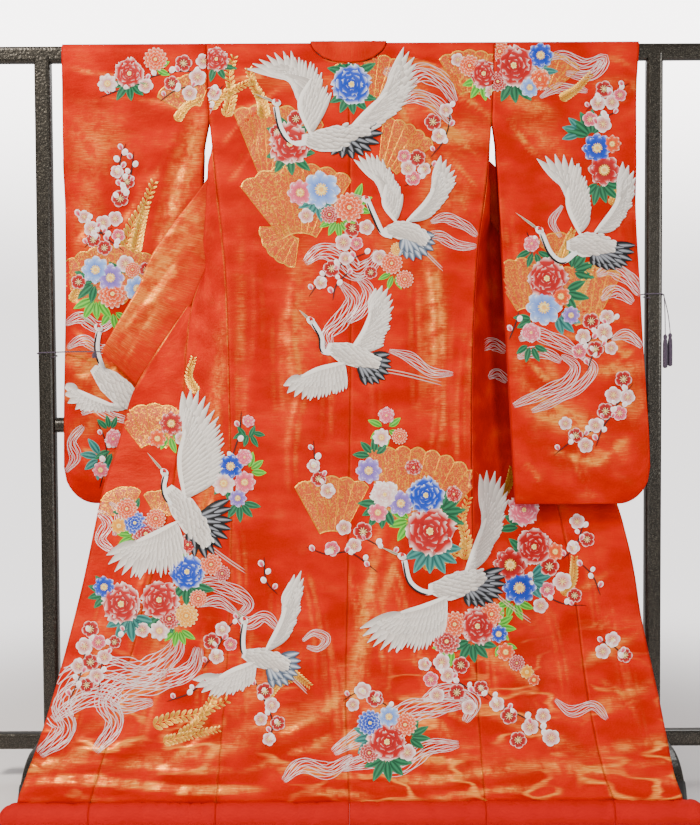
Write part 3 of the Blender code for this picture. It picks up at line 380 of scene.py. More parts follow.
# Creases, listed one by one, each a soft valley (-) or ridge (+) in the cloth's depth. Ends are places in the
# photograph in pixels across and down; width and depth are in millimetres.
creases = {
    "robe": [
        (395, 52, 470, 84, 7, -3.2), (398, 58, 480, 112, 8, 3.0), (400, 66, 478, 140, 8, -3.4),
        (402, 78, 470, 170, 9, 2.6), (398, 90, 452, 190, 9, -3.0), (392, 100, 430, 205, 10, 2.4),
        (440, 58, 492, 70, 6, 2.4), (445, 70, 494, 92, 7, -2.8), (450, 92, 492, 124, 7, 2.6),
        (448, 116, 488, 160, 8, -2.6), (440, 140, 484, 200, 8, 2.4), (460, 178, 482, 236, 8, -2.0),
        (300, 60, 238, 66, 6, -2.2), (296, 68, 228, 84, 7, 2.4), (286, 80, 220, 112, 8, -2.4),
        (270, 100, 222, 150, 8, 2.0), (262, 120, 226, 180, 9, -2.0),
        (428, 250, 436, 360, 11, 4.6), (436, 330, 428, 470, 12, 4.2), (412, 260, 416, 430, 12, -3.4),
        (452, 300, 454, 470, 13, -3.0), (296, 270, 300, 400, 11, 3.8), (304, 380, 292, 505, 12, 3.6),
        (318, 300, 322, 470, 12, -3.0), (276, 300, 280, 440, 12, -3.0), (254, 240, 250, 400, 13, 2.6),
        (372, 300, 376, 470, 12, 2.6), (240, 330, 246, 520, 12, -2.6), (466, 330, 460, 480, 10, 2.8),
        (350, 575, 362, 700, 8, 4.6), (366, 560, 386, 690, 9, -3.6), (386, 560, 404, 640, 8, 3.6),
        (404, 600, 436, 720, 9, -3.0), (420, 640, 452, 760, 9, 3.2), (300, 560, 316, 700, 10, 3.4),
        (316, 600, 330, 740, 10, -3.0), (270, 560, 262, 700, 11, -2.8), (252, 600, 240, 740, 10, 3.0),
        (330, 640, 338, 770, 9, 2.6), (236, 520, 238, 640, 9, 2.8), (462, 520, 462, 640, 9, -2.8),
        (190, 600, 160, 700, 9, 3.6), (176, 640, 136, 752, 10, -3.4), (206, 620, 196, 740, 9, 3.0),
        (150, 560, 118, 660, 10, 3.2), (210, 480, 198, 560, 9, -2.6), (190, 420, 178, 520, 9, 3.0),
        (96, 640, 60, 740, 8, 3.0), (110, 560, 84, 640, 8, -2.8), (82, 690, 52, 775, 7, -2.6),
        (124, 500, 104, 570, 8, 2.6), (500, 560, 512, 680, 10, 3.4), (486, 600, 494, 720, 9, -3.0),
        (528, 520, 540, 640, 10, -3.0), (545, 600, 566, 720, 9, 3.2), (520, 690, 556, 770, 9, -3.0),
        (596, 560, 608, 660, 8, 2.8), (612, 600, 628, 720, 8, -2.6), (634, 660, 650, 760, 8, 2.6),
        (600, 690, 640, 716, 7, 2.8), (594, 716, 650, 700, 7, -2.4), (590, 640, 622, 622, 6, 2.2),
        (356, 700, 420, 742, 9, 3.0), (360, 726, 452, 762, 8, -3.0), (390, 700, 470, 730, 9, 2.6),
        (230, 690, 180, 742, 10, 3.4), (226, 716, 150, 772, 9, -3.2), (340, 700, 262, 742, 10, 2.8),
        (334, 728, 238, 766, 9, -2.8), (60, 752, 140, 744, 8, 2.6), (44, 774, 130, 764, 7, -2.6)],
    "sleeveLeft": [
        (70, 70, 150, 84, 9, 1.8), (80, 96, 190, 104, 9, -1.8), (204, 120, 176, 240, 10, 3.6),
        (196, 130, 150, 262, 12, -3.0), (186, 110, 120, 230, 14, 2.4), (150, 130, 92, 260, 14, -2.2),
        (100, 120, 84, 260, 13, 2.4), (72, 330, 120, 400, 10, 3.2), (70, 372, 128, 356, 9, -2.8),
        (70, 300, 106, 320, 9, 2.6), (72, 396, 110, 424, 9, 3.0), (74, 440, 118, 452, 9, -2.4),
        (80, 460, 110, 486, 9, 2.2), (108, 430, 122, 490, 9, -2.2), (68, 250, 98, 210, 12, -2.0)],
    "sleeveRight": [
        (500, 62, 560, 84, 8, -2.8), (500, 80, 556, 120, 9, 2.8), (500, 104, 540, 160, 10, -2.6),
        (600, 60, 636, 74, 8, 2.2), (590, 84, 636, 100, 9, -2.0), (520, 140, 566, 210, 12, 2.2),
        (504, 180, 520, 300, 12, -2.6), (516, 230, 528, 360, 12, 2.4), (560, 300, 632, 330, 10, 2.8),
        (556, 330, 636, 356, 10, -2.6), (512, 350, 556, 392, 10, 3.4), (520, 380, 590, 420, 11, -3.4),
        (530, 420, 600, 446, 12, 4.2), (540, 446, 604, 462, 10, -3.0), (598, 380, 636, 350, 10, 3.0),
        (606, 410, 638, 396, 9, -2.6), (590, 470, 632, 440, 10, 2.6), (520, 462, 540, 492, 9, 2.0),
        (572, 440, 590, 494, 9, -2.2), (618, 170, 634, 280, 10, 2.4), (604, 210, 612, 320, 12, -2.2)],
    "collarLeft": [
        (194, 205, 150, 270, 7, 1.6), (190, 240, 128, 316, 8, -1.8), (178, 270, 112, 340, 8, 1.8),
        (160, 300, 120, 366, 8, -1.8), (190, 222, 160, 240, 6, 1.6), (176, 300, 138, 306, 6, 1.4)]}


def photoRay(across, down):
    # slope of the camera's ray: x and z it gains for each metre of depth y from the camera
    toRight = (np.asarray(across, float) - camera["middlePx"][0]) / camera["focalPx"]
    fall = np.arctan((np.asarray(down, float) - camera["middlePx"][1]) / camera["focalPx"])
    fall = fall + math.radians(camera["pitch"])
    tilt = math.radians(camera["pitch"])
    return toRight * (math.cos(tilt) + np.tan(fall) * math.sin(tilt)), -np.tan(fall)


def onDepth(across, down, depthOf):
    # where a place in the photograph lies on a hanging surface: a few steps to its depth and back
    right, rise = photoRay(across, down)
    y = np.full(np.shape(right), -0.05)
    for _ in range(12):
        reach = camera["distance"] + y
        x, z = right * reach, camera["height"] + rise * reach
        y = depthOf(x, z)
    return x, z


def creaseField(table, depthOf, x, z):
    total = np.zeros(np.shape(x))
    for acrossA, downA, acrossB, downB, width, depth in table:
        endX, endZ = onDepth(np.array([acrossA, acrossB]), np.array([downA, downB]), depthOf)
        lineX, lineZ = endX[1] - endX[0], endZ[1] - endZ[0]
        length = math.hypot(lineX, lineZ)
        along = ((x - endX[0]) * lineX + (z - endZ[0]) * lineZ) / length**2
        off = ((x - endX[0]) * lineZ - (z - endZ[0]) * lineX) / length
        off = off + 0.06 * length * np.sin(np.pi * np.clip(along, 0, 1)) * math.sin(acrossA + downB)
        fade = smoothStep(-0.12, 0.28, along) * smoothStep(1.12, 0.66, along)
        total += depth * 0.001 * np.exp(-(off / (width * 0.001))**2) * fade
    return -total  # a ridge comes towards the viewer


def hemCrumple(x, z):
    # level creases that gather just above the padded roll, broken up along their length
    low = smoothStep(0.200, 0.085, z) * smoothStep(0.060, 0.072, z)
    waves = np.sin(2 * np.pi * z / 0.040 + 2.4 * np.sin(5.1 * x + 1) + 1.3 * np.sin(13 * x))
    broken = 0.5 + 0.5 * np.sin(17 * x + 2 * np.sin(7 * x) + 30 * z)
    return 0.0030 * low * waves * broken


def ripple(x, z):
    # shallow unevenness that every hanging silk has
    return (0.0007 * np.sin(41 * x + 9 * z + 1.5 * np.sin(11 * z)) * np.sin(7 * x + 13 * z)
            + 0.0005 * np.sin(83 * z + 17 * x + 2 * np.sin(19 * x)))


def robeDepth(x, z):
    return backDepth(z)


def sleeveDepth(side):
    return lambda x, z: smoothAt(sleeveHang[side], z, 1) - smoothAt(sleeveHang[side], z, 2)


def collarDepth(x, z):
    return np.interp(z, [1.0, 1.2, 1.4], [-0.092, -0.062, -0.03])


def robeFolds(x, z):
    x, z = np.asarray(x, float), np.asarray(z, float)
    fade = smoothStep(1.700, 1.655, z)
    calm = 1 - 0.75 * smoothStep(0.40, 0.46, x) * smoothStep(0.70, 0.78, z)  # near the middle rail
    return fade * calm * (creaseField(creases["robe"], robeDepth, x, z) + hemCrumple(x, z)) + fade * ripple(x, z)


def sleeveFolds(side, x, z):
    table = creases["sleeveLeft" if side < 0 else "sleeveRight"]
    fade = smoothStep(1.700, 1.640, z) * smoothStep(sleeve["bottom"][side], sleeve["bottom"][side] + 0.03, z)
    return fade * (creaseField(table, sleeveDepth(side), x, z) + ripple(x + 3 * side, z))


def seamDip(share, width, reach=0.0045, depth=0.0011):
    # the cloth rolls back a little towards each seam or edge
    edge = np.minimum(share, 1 - share) * width
    return depth * np.exp(-(edge / reach)**2)


# Sewing the surfaces


def gridMesh(name, grid, extraFaces=()):
    rows, columns = grid.shape[:2]
    index = np.arange(rows * columns).reshape(rows, columns)
    quads = np.stack([index[:-1, :-1], index[:-1, 1:], index[1:, 1:], index[1:, :-1]], axis=-1).reshape(-1, 4)
    if len(extraFaces):
        quads = np.concatenate([quads, np.array(extraFaces)])
    mesh = bpy.data.meshes.new(name)
    points = grid.reshape(-1, 3).copy()
    points[:, 1] += backShift
    mesh.from_pydata(points.tolist(), [], quads.tolist())
    mesh.update()
    item = bpy.data.objects.new(name + "_silk", mesh)
    bpy.context.scene.collection.objects.link(item)
    mesh.polygons.foreach_set("use_smooth", np.ones(len(mesh.polygons), bool))
    return item


def setAttribute(item, name, values):
    attribute = item.data.attributes.new(name, "FLOAT", "POINT")
    attribute.data.foreach_set("value", np.asarray(values, np.float32).ravel())


def setUv(item, uv):
    # the cloth's own UV: metres across the panel and along it
    layer = item.data.uv_layers.new(name="clothUv")
    loops = np.empty(len(item.data.loops), np.int32)
    item.data.loops.foreach_get("vertex_index", loops)
    layer.data.foreach_set("uv", np.asarray(uv, np.float32).reshape(-1, 2)[loops].ravel())


def gridUv(grid):
    across = np.linalg.norm(np.diff(grid, axis=1), axis=2).mean(axis=0)
    along = np.linalg.norm(np.diff(grid, axis=0), axis=2).mean(axis=1)
    u = np.concatenate([[0], np.cumsum(across)])
    v = np.concatenate([[0], np.cumsum(along)])
    return np.stack(np.meshgrid(u, v), axis=-1)


def giveWall(item, thickness, offset=0.0):
    shell = item.modifiers.new("clothWall", "SOLIDIFY")
    shell.thickness = thickness
    shell.offset = offset
    shell.material_offset = 1
    shell.material_offset_rim = 1


def outwardFaces(item, towards):
    # turn the sheet so that its outer face looks the way the first face should
    normals = np.empty(len(item.data.polygons) * 3)
    item.data.polygons.foreach_get("normal", normals)
    if normals.reshape(-1, 3)[: len(item.data.polygons) // 3].mean(axis=0) @ np.array(towards, float) < 0:
        item.data.flip_normals()


def facing(grid):
    normal = np.cross(np.gradient(grid, axis=1), np.gradient(grid, axis=0))
    normal /= np.maximum(np.linalg.norm(normal, axis=2, keepdims=True), 1e-9)
    return normal * np.where(normal[..., 1:2] > 0, -1.0, 1.0)  # seen from the viewer's side


def paintedSheenShare(grid, smooth, patches):
    # painted sheen: how much gold weft and haze is painted where a crease turns the cloth up to the light or sideways,
    # and on the patches
    turned = facing(grid) - facing(smooth)
    share = 0.75 * smoothStep(0.02, 0.20, turned[..., 2]) + 0.30 * smoothStep(0.08, 0.30, np.abs(turned[..., 0]))
    for x, z, wide, tall, turn, strength in patches:
        c, s = math.cos(math.radians(turn)), math.sin(math.radians(turn))
        dx, dz = grid[..., 0] - x, grid[..., 2] - z
        share = share + strength * np.exp(-((dx * c + dz * s) / wide)**2 - ((-dx * s + dz * c) / tall)**2)
    return np.clip(share, 0, 1)


# Patches of painted sheen, stretched places where the gold weft is painted as catching the light: x, z, half width,
# half height, turn, strength
paintedSheenPatches = {
    "robe": [
        (0.190, 1.130, 0.022, 0.200, 3, 0.55), (0.175, 0.960, 0.016, 0.090, 0, 0.40),
        (-0.115, 1.060, 0.030, 0.180, -4, 0.38), (-0.245, 1.040, 0.010, 0.180, 0, 0.35),
        (0.255, 1.480, 0.060, 0.040, 20, 0.45), (0.225, 1.350, 0.050, 0.040, -20, 0.35),
        (0.040, 0.480, 0.012, 0.130, -8, 0.70), (0.085, 0.520, 0.010, 0.080, -12, 0.60),
        (0.010, 0.330, 0.016, 0.120, -10, 0.55), (-0.060, 0.240, 0.090, 0.016, 24, 0.50),
        (0.120, 0.220, 0.110, 0.014, -22, 0.50), (0.080, 0.150, 0.130, 0.012, -8, 0.45),
        (-0.180, 0.300, 0.080, 0.020, 40, 0.55), (-0.210, 0.200, 0.100, 0.014, 24, 0.50),
        (-0.330, 0.620, 0.020, 0.120, -16, 0.50), (-0.390, 0.420, 0.030, 0.110, -24, 0.50),
        (-0.350, 0.150, 0.120, 0.012, 8, 0.55), (-0.480, 0.240, 0.070, 0.014, 26, 0.50),
        (-0.600, 0.140, 0.070, 0.012, 20, 0.60), (-0.560, 0.330, 0.020, 0.100, -28, 0.45),
        (0.320, 0.330, 0.060, 0.014, -34, 0.55), (0.370, 0.200, 0.100, 0.012, -24, 0.55),
        (0.250, 0.110, 0.120, 0.010, 6, 0.50), (0.560, 0.340, 0.060, 0.010, 24, 0.65),
        (0.580, 0.250, 0.070, 0.009, 18, 0.60), (0.600, 0.160, 0.080, 0.009, 10, 0.55),
        (0.530, 0.470, 0.040, 0.008, 30, 0.50), (0.440, 0.120, 0.110, 0.010, -6, 0.45),
        (-0.300, 0.880, 0.016, 0.160, -6, 0.45), (-0.100, 1.610, 0.110, 0.020, 0, 0.30),
        (0.130, 1.560, 0.060, 0.030, 30, 0.35), (0.090, 1.230, 0.040, 0.080, 20, 0.25)],
    "sleeveLeft": [
        (-0.570, 1.480, 0.060, 0.060, 10, 0.40), (-0.600, 1.300, 0.030, 0.130, 0, 0.35),
        (-0.400, 1.330, 0.022, 0.140, -14, 0.55), (-0.350, 1.480, 0.020, 0.090, -6, 0.45),
        (-0.600, 0.975, 0.060, 0.020, -20, 0.70), (-0.610, 0.900, 0.060, 0.016, -6, 0.70),
        (-0.560, 0.940, 0.060, 0.030, -14, 0.45), (-0.590, 0.830, 0.060, 0.020, 12, 0.35)],
    "sleeveRight": [
        (0.400, 1.560, 0.070, 0.020, -30, 0.45), (0.440, 1.480, 0.060, 0.020, -40, 0.40),
        (0.610, 1.600, 0.060, 0.014, -6, 0.35), (0.490, 0.840, 0.060, 0.026, -22, 0.90),
        (0.450, 0.960, 0.012, 0.050, 24, 0.55), (0.610, 0.950, 0.070, 0.014, 4, 0.70),
        (0.600, 1.010, 0.050, 0.018, 30, 0.55), (0.560, 0.760, 0.060, 0.020, 10, 0.45),
        (0.400, 0.900, 0.014, 0.080, 18, 0.40), (0.640, 0.880, 0.030, 0.040, 0, 0.40)],
    "collar": [(-0.500, 1.100, 0.100, 0.070, 50, 0.60), (-0.420, 1.210, 0.070, 0.050, 50, 0.50),
               (-0.360, 1.300, 0.050, 0.060, 50, 0.45), (-0.470, 1.180, 0.030, 0.030, 50, 0.30)]}

print("sewing the robe")
pieces = {}
seamLines = {}


def tuckHem(z):
    # the last row of the silk goes down into the seam of the padded roll
    return np.where(z < cloth["hemHeight"] + 0.0001, cloth["hemHeight"] - 0.0070, z)


def addBody(side):
    word = "left" if side < 0 else "right"
    back, top, front = bodyParts(side)
    grid = refineGrid(np.array(back + top + front), cloth["spacing"])
    grid[..., 2] = tuckHem(grid[..., 2])
    smooth = grid.copy()
    folds = robeFolds(grid[..., 0], grid[..., 2])
    behind = smoothStep(1.20, 1.40, grid[..., 2]) * (grid[..., 1] > backDepth(grid[..., 2]) + 0.006)
    grid[..., 1] += folds * (1 - behind)
    span = np.linspace(0, 1, grid.shape[1])[None, :]
    grid[..., 1] += seamDip(span, 0.28) * (grid[..., 2] < 1.66) * (1 - behind)
    item = gridMesh("body_" + word, grid)
    pieces["body_" + word] = item
    setAttribute(item, "gold", paintedSheenShare(grid, smooth, paintedSheenPatches["robe"]))
    setUv(item, gridUv(smooth))
    outwardFaces(item, (0, -1, 0))
    back = grid[:int(np.argmax(grid[:, 5, 2]))]
    seamLines[f"side_{word}"] = back[back[:, -1, 2] < cloth["sideSeamTop"] - 0.01, -1]
    if side > 0:
        seamLines["centre"] = back[back[:, 0, 2] < 1.648, 0]


def addOkumi(side):
    word = "left" if side < 0 else "right"
    grid = refineGrid(okumiRows(side), cloth["spacing"])
    grid[..., 2] = tuckHem(grid[..., 2])
    smooth = grid.copy()
    grid[..., 1] += robeFolds(grid[..., 0], grid[..., 2])
    grid[..., 1] += seamDip(np.linspace(0, 1, grid.shape[1])[None, :], 0.15)
    seamLines["front_" + word] = grid[:, 0]
    item = gridMesh("okumi_" + word, grid)
    pieces["okumi_" + word] = item
    setAttribute(item, "gold", paintedSheenShare(grid, smooth, paintedSheenPatches["robe"]))
    setUv(item, gridUv(smooth))
    outwardFaces(item, (0, -1, 0))


def addSleeve(side):
    word = "left" if side < 0 else "right"
    spacing = cloth["spacing"] * 1.05
    walls, plain = {}, {}
    for face in (-1, 1):
        wall = sleeveWallGrid(side, face, spacing)
        folds = sleeveFolds(side, wall[..., 0], wall[..., 2])
        if face > 0:  # the hidden wall has creases of its own kind, mirrored in height
            folds = 0.7 * sleeveFolds(side, side * 1.01 - wall[..., 0], wall[..., 2]) + 0.3 * folds
        closing = smoothStep(0.003, 0.012, np.abs(wall[..., 1] - smoothAt(sleeveHang[side], wall[..., 2], 1)))
        plain[face] = wall.copy()
        wall[..., 1] += folds * closing
        walls[face] = wall
    columns = walls[-1].shape[1]
    share = np.linspace(0, 1, columns)
    top = []
    for y, z, _ in overRail[:5]:
        near = float(sleeveNear(side, z)) + 0.0006
        out = near + (float(smoothAt(sleeveOuter[side], z)) - near) * share
        top.append(np.stack([side * out, np.full(columns, y), np.full(columns, z)], axis=1))
    top = np.array(top)
    fineTop = refineGrid(np.concatenate([walls[-1][:1], top, walls[1][:1]]), cloth["spacing"])
    if fineTop.shape[1] != columns:
        fineTop = np.concatenate([walls[-1][:1], top, walls[1][:1]])
    grid = np.concatenate([walls[-1][::-1][:-1], fineTop, walls[1][1:]])
    smooth = np.concatenate([plain[-1][::-1][:-1], fineTop, plain[1][1:]])
    last, count = len(grid) - 1, len(walls[-1])
    i = np.arange(columns - 1)
    bottomStrip = np.stack([last * columns + i, last * columns + i + 1, i + 1, i], axis=1)
    z = walls[-1][:, -1, 2]
    k = np.nonzero(z[:-1] <= sleeve["cuffOpen"])[0]
    nearRow, farRow = count - 1 - k, last - (count - 1 - k)
    outerStrip = np.stack([nearRow * columns + columns - 1, farRow * columns + columns - 1,
                           (farRow + 1) * columns + columns - 1, (nearRow - 1) * columns + columns - 1], axis=1)
    item = gridMesh("sleeve_" + word, grid, np.concatenate([bottomStrip, outerStrip]))
    pieces["sleeve_" + word] = item
    key = "sleeveLeft" if side < 0 else "sleeveRight"
    setAttribute(item, "gold", paintedSheenShare(grid, smooth, paintedSheenPatches[key]))
    setUv(item, gridUv(grid))
    outwardFaces(item, (0, -1, 0))


def addCollar():
    coarse = np.array(collarHalf(-1)[::-1] + collarHalf(1)[1:])
    grid = refineGrid(coarse, cloth["spacing"])
    smooth = grid.copy()
    low = smoothStep(1.40, 1.30, grid[..., 2])
    leftFold = creaseField(creases["collarLeft"], collarDepth, grid[..., 0], grid[..., 2])
    rightFold = creaseField(creases["collarLeft"], collarDepth, -grid[..., 0], grid[..., 2])
    grid[..., 1] += low * np.where(grid[..., 0] < 0, leftFold, 0.8 * rightFold)
    grid[..., 1] += low * ripple(grid[..., 0] + 5, grid[..., 2]) + low * robeFolds(grid[..., 0], grid[..., 2]) * 0.6
    item = gridMesh("collar", grid)
    pieces["collar"] = item
    setAttribute(item, "gold", paintedSheenShare(grid, smooth, paintedSheenPatches["collar"]))
    setUv(item, gridUv(grid))
    outwardFaces(item, (0, -1, 0))


for side in (-1, 1):
    addBody(side)
    addOkumi(side)
    addSleeve(side)
addCollar()
for name, item in pieces.items():
    giveWall(item, cloth["collarWall"] if name == "collar" else cloth["wall"])
# the silk turned in along each long seam, a narrow band behind it
allowances = []
for name, line in seamLines.items():
    band = line[:, None, :] + np.array([(across * 0.0045, 0.0018 + 0.0003 * abs(across), 0.0) for across in (-1, 0, 1)])
    allowances.append(gridMesh("allowance_" + name, band))
print("robe sewn:", sum(len(item.data.polygons) for item in pieces.values()), "quads before walls")

# Padded hem roll, six lengths, gathered along its stitching.
roll = {"radius": 0.0288, "height": 0.0300, "end": 0.745, "around": 56, "spacing": 0.0045}


def hemLine(x):
    return -cloth["hemReach"] - 0.003 + softDrape(x, np.full(np.shape(x), cloth["hemHeight"]))


def addRoll(name, start, end):
    # a tube along the hem: radius swells, gathers run across it, the two free ends turn in
    count = int(abs(end - start) / roll["spacing"]) + 2
    x, angle = np.meshgrid(np.linspace(start, end, count), np.linspace(0, 2 * np.pi, roll["around"], endpoint=False),
                           indexing="ij")
    beyond = np.maximum(0.0, np.abs(x) - (roll["end"] - 0.045)) / 0.045
    radius = roll["radius"] * (1 - 0.62 * beyond**3)
    height = roll["height"] - (0.0293 - radius * 0.0293 / roll["radius"]) * 0.9
    gathers = (1 - np.abs(np.sin(88 * x + 2.4 * np.sin(17 * x) + 0.5 * np.sin(angle + 40 * x))))**2.5
    slow = np.sin(31 * x + 1.7 * np.sin(9 * x))
    ends = 1.0 - 0.9 * np.exp(-((x - start) / 0.004)**2) - 0.9 * np.exp(-((x - end) / 0.004)**2)
    upper = 0.35 + 0.65 * np.clip(np.sin(angle), 0, 1)
    surface = radius - 0.0030 * gathers * (0.7 + 0.3 * slow) * upper - 0.0006 * (1 + slow) - 0.0012 * (1 - ends)
    y = hemLine(x) + surface * np.cos(angle)
    z = np.maximum(height + surface * np.sin(angle), 0.0009)
    grid = np.stack([x, y, z], axis=-1)
    rows, columns = grid.shape[:2]
    index = np.arange(rows * columns).reshape(rows, columns)
    nextColumn = np.roll(index, -1, axis=1)
    quads = np.stack([index[:-1], index[1:], nextColumn[1:], nextColumn[:-1]], axis=-1).reshape(-1, 4)
    points = grid.reshape(-1, 3)
    caps = np.array([grid[0].mean(axis=0), grid[-1].mean(axis=0)])
    points = np.concatenate([points, caps])
    points[:, 1] += backShift
    first = np.stack([index[0], nextColumn[0], np.full(columns, rows * columns)], axis=1)
    lastRing = np.stack([nextColumn[-1], index[-1], np.full(columns, rows * columns + 1)], axis=1)
    mesh = bpy.data.meshes.new(name)
    mesh.from_pydata(points.tolist(), [], quads.tolist() + first.tolist() + lastRing.tolist())
    mesh.update()
    item = bpy.data.objects.new(name + "_crepe", mesh)
    bpy.context.scene.collection.objects.link(item)
    mesh.polygons.foreach_set("use_smooth", np.ones(len(mesh.polygons), bool))
    if end < start:
        mesh.flip_normals()
    pieces[name] = item


middleX = float(smoothAt(centreSeam, cloth["hemHeight"]))
for word, side in sides.items():
    marks = [middleX, side * sideSeam[side][0][1], side * frontSeam[side][0][1], side * roll["end"]]
    for part, a, b in (("back", 0, 1), ("front", 1, 2), ("okumi", 2, 3)):
        addRoll(f"hem_roll_{part}_{word}", marks[a] + side * 0.0002, marks[b] - (side * 0.0002 if b < 3 else 0))

print("hem roll padded")

# Materials


def linear(code):
    # an sRGB colour in hex as the linear values that shaders take
    parts = [int(code[k:k + 2], 16) / 255 for k in (0, 2, 4)]
    return tuple(p / 12.92 if p <= 0.04045 else ((p + 0.055) / 1.055)**2.4 for p in parts) + (1.0,)


def newMaterial(name):
    made = bpy.data.materials.new(name)
    made.use_nodes = True
    return made, made.node_tree, made.node_tree.nodes["Principled BSDF"]


def addNode(tree, kind, settings=None, **inputs):
    # one node; inputs are named with underscores for spaces, or i0, i1 for a socket by number
    node = tree.nodes.new("ShaderNode" + kind)
    for key, value in (settings or {}).items():
        setattr(node, key, value)
    for key, value in inputs.items():
        socket = node.inputs[int(key[1:])] if key[0] == "i" and key[1:].isdigit() else node.inputs[key.replace("_", " ")]
        if isinstance(value, bpy.types.NodeSocket):
            tree.links.new(value, socket)
        else:
            socket.default_value = value
    return node


def calculate(tree, operation, a, b=0.0, clamp=False):
    return addNode(tree, "Math", {"operation": operation, "use_clamp": clamp}, i0=a, i1=b).outputs[0]


def rangeOf(tree, value, low, high, toLow=0.0, toHigh=1.0):
    return addNode(tree, "MapRange", {"interpolation_type": "SMOOTHSTEP"}, i0=value, i1=low, i2=high,
                   i3=toLow, i4=toHigh).outputs[0]


def mixColours(tree, share, a, b):
    node = addNode(tree, "Mix", {"data_type": "RGBA"})
    for socket, value in ((node.inputs[0], share), (node.inputs[6], a), (node.inputs[7], b)):
        if isinstance(value, bpy.types.NodeSocket):
            tree.links.new(value, socket)
        else:
            socket.default_value = value
    return node.outputs[2]


def stretchedNoise(tree, space, scale, detail=2.0, roughness=0.5):
    mapped = addNode(tree, "Mapping", i0=space, Scale=scale).outputs[0]
    return addNode(tree, "TexNoise", Vector=mapped, Scale=1.0, Detail=detail, Roughness=roughness).outputs[0]


def bumpFrom(tree, shader, height, distance, strength=1.0):
    bump = addNode(tree, "Bump", Height=height, Distance=distance, Strength=strength)
    tree.links.new(bump.outputs[0], shader.inputs["Normal"])


satin = {"red": "C80E02", "deep": "A80801", "haze": "E24C12", "gold": "E8842A", "paleGold": "FFBC5A"}


def redSatin(name, extraPaintedSheen=0.0):
    made, tree, shader = newMaterial(name)
    uv = addNode(tree, "UVMap", {"uv_map": "clothUv"}).outputs[0]
    # painted sheen: the gold attribute marks where the cloth is painted as catching the light
    paintedSheenMask = addNode(tree, "Attribute", {"attribute_name": "gold"}).outputs["Fac"]
    # weft threads are about 0.3 mm apart; the streaks they make are drawn 2.5 to 3 mm tall
    streaks = stretchedNoise(tree, uv, (34, 560, 1), 3.0, 0.62)
    clouds = stretchedNoise(tree, uv, (9, 14, 1), 2.0)
    lit = calculate(tree, "ADD", paintedSheenMask, calculate(tree, "MULTIPLY", rangeOf(tree, clouds, 0.45, 0.75), 0.09))
    # crumples break the painted sheen up
    crumple = rangeOf(tree, stretchedNoise(tree, uv, (34, 26, 1), 4.0, 0.62), 0.36, 0.60, 0.30, 1.25)
    lit = calculate(tree, "ADD", calculate(tree, "MULTIPLY", lit, crumple), extraPaintedSheen, True)
    # sharp little folds above the hem: a bump in their hollows and a painted highlight along their backs
    place = addNode(tree, "TexCoord").outputs["Object"]
    fold = calculate(tree, "ABSOLUTE", calculate(tree, "SUBTRACT", stretchedNoise(tree, place, (5.5, 5.5, 19), 2.0, 0.42), 0.5))
    height = addNode(tree, "SeparateXYZ", i0=place).outputs[2]
    broken = rangeOf(tree, stretchedNoise(tree, place, (9, 9, 9), 1.0), 0.44, 0.60)
    low = calculate(tree, "MULTIPLY", rangeOf(tree, height, 0.46, 0.14), broken)
    paintedRidgeHighlight = calculate(tree, "MULTIPLY", rangeOf(tree, fold, 0.040, 0.004), low)
    hollow = calculate(tree, "MULTIPLY", rangeOf(tree, fold, 0.12, 0.0), low)
    lit = calculate(tree, "ADD", lit, calculate(tree, "MULTIPLY", paintedRidgeHighlight, 0.85), True)
    # where the cloth is painted as lit, the colour turns to gold weft, more metallic and glossier, and the red takes a
    # painted orange haze
    threads = rangeOf(tree, calculate(tree, "ADD", streaks, calculate(tree, "MULTIPLY", lit, 0.16)), 0.42, 0.66)
    share = calculate(tree, "MULTIPLY", calculate(tree, "ADD", calculate(tree, "MULTIPLY", threads, 0.55), 0.45), lit)
    haze = calculate(tree, "MULTIPLY", calculate(tree, "ADD", threads, 0.5), calculate(tree, "ADD", lit, 0.02))
    shade = mixColours(tree, rangeOf(tree, clouds, 0.3, 0.7), linear(satin["deep"]), linear(satin["red"]))
    shade = mixColours(tree, calculate(tree, "MULTIPLY", haze, 0.24, True), shade, linear(satin["haze"]))
    golden = mixColours(tree, rangeOf(tree, streaks, 0.45, 0.72), linear(satin["gold"]), linear(satin["paleGold"]))
    tree.links.new(mixColours(tree, calculate(tree, "MULTIPLY", share, 0.9), shade, golden),
                   shader.inputs["Base Color"])
    tree.links.new(calculate(tree, "MULTIPLY", share, 0.30), shader.inputs["Metallic"])
    tree.links.new(calculate(tree, "SUBTRACT", 0.42, calculate(tree, "MULTIPLY", share, 0.12)),
                   shader.inputs["Roughness"])
    shader.inputs["Specular IOR Level"].default_value = 0.30
    shader.inputs["Specular Tint"].default_value = linear("FF6A28")
    shader.inputs["Anisotropic"].default_value = 0.3
    fine = stretchedNoise(tree, uv, (60, 95, 1), 3.0, 0.6)
    weave = calculate(tree, "MULTIPLY", stretchedNoise(tree, uv, (420, 900, 1), 1.0), 0.10)
    relief = calculate(tree, "ADD", calculate(tree, "ADD", fine, weave), calculate(tree, "MULTIPLY", hollow, 3.0))
    bumpFrom(tree, shader, relief, 0.0018, 0.60)
    return made


def matteRed(name, colour):
    made, tree, shader = newMaterial(name)
    place = addNode(tree, "TexCoord").outputs["Object"]
    clouds = stretchedNoise(tree, place, (22, 22, 22), 3.0)
    deep = tuple(0.80 * part for part in linear(colour)[:3]) + (1.0,)
    tree.links.new(mixColours(tree, clouds, deep, linear(colour)), shader.inputs["Base Color"])
    shader.inputs["Roughness"].default_value = 0.72
    shader.inputs["Specular IOR Level"].default_value = 0.14
    shader.inputs["Sheen Weight"].default_value = 0.08
    shader.inputs["Sheen Tint"].default_value = linear("FF2008")
    crinkle = stretchedNoise(tree, place, (520, 520, 300), 2.0, 0.6)
    bumpFrom(tree, shader, crinkle, 0.0009, 0.6)
    return made


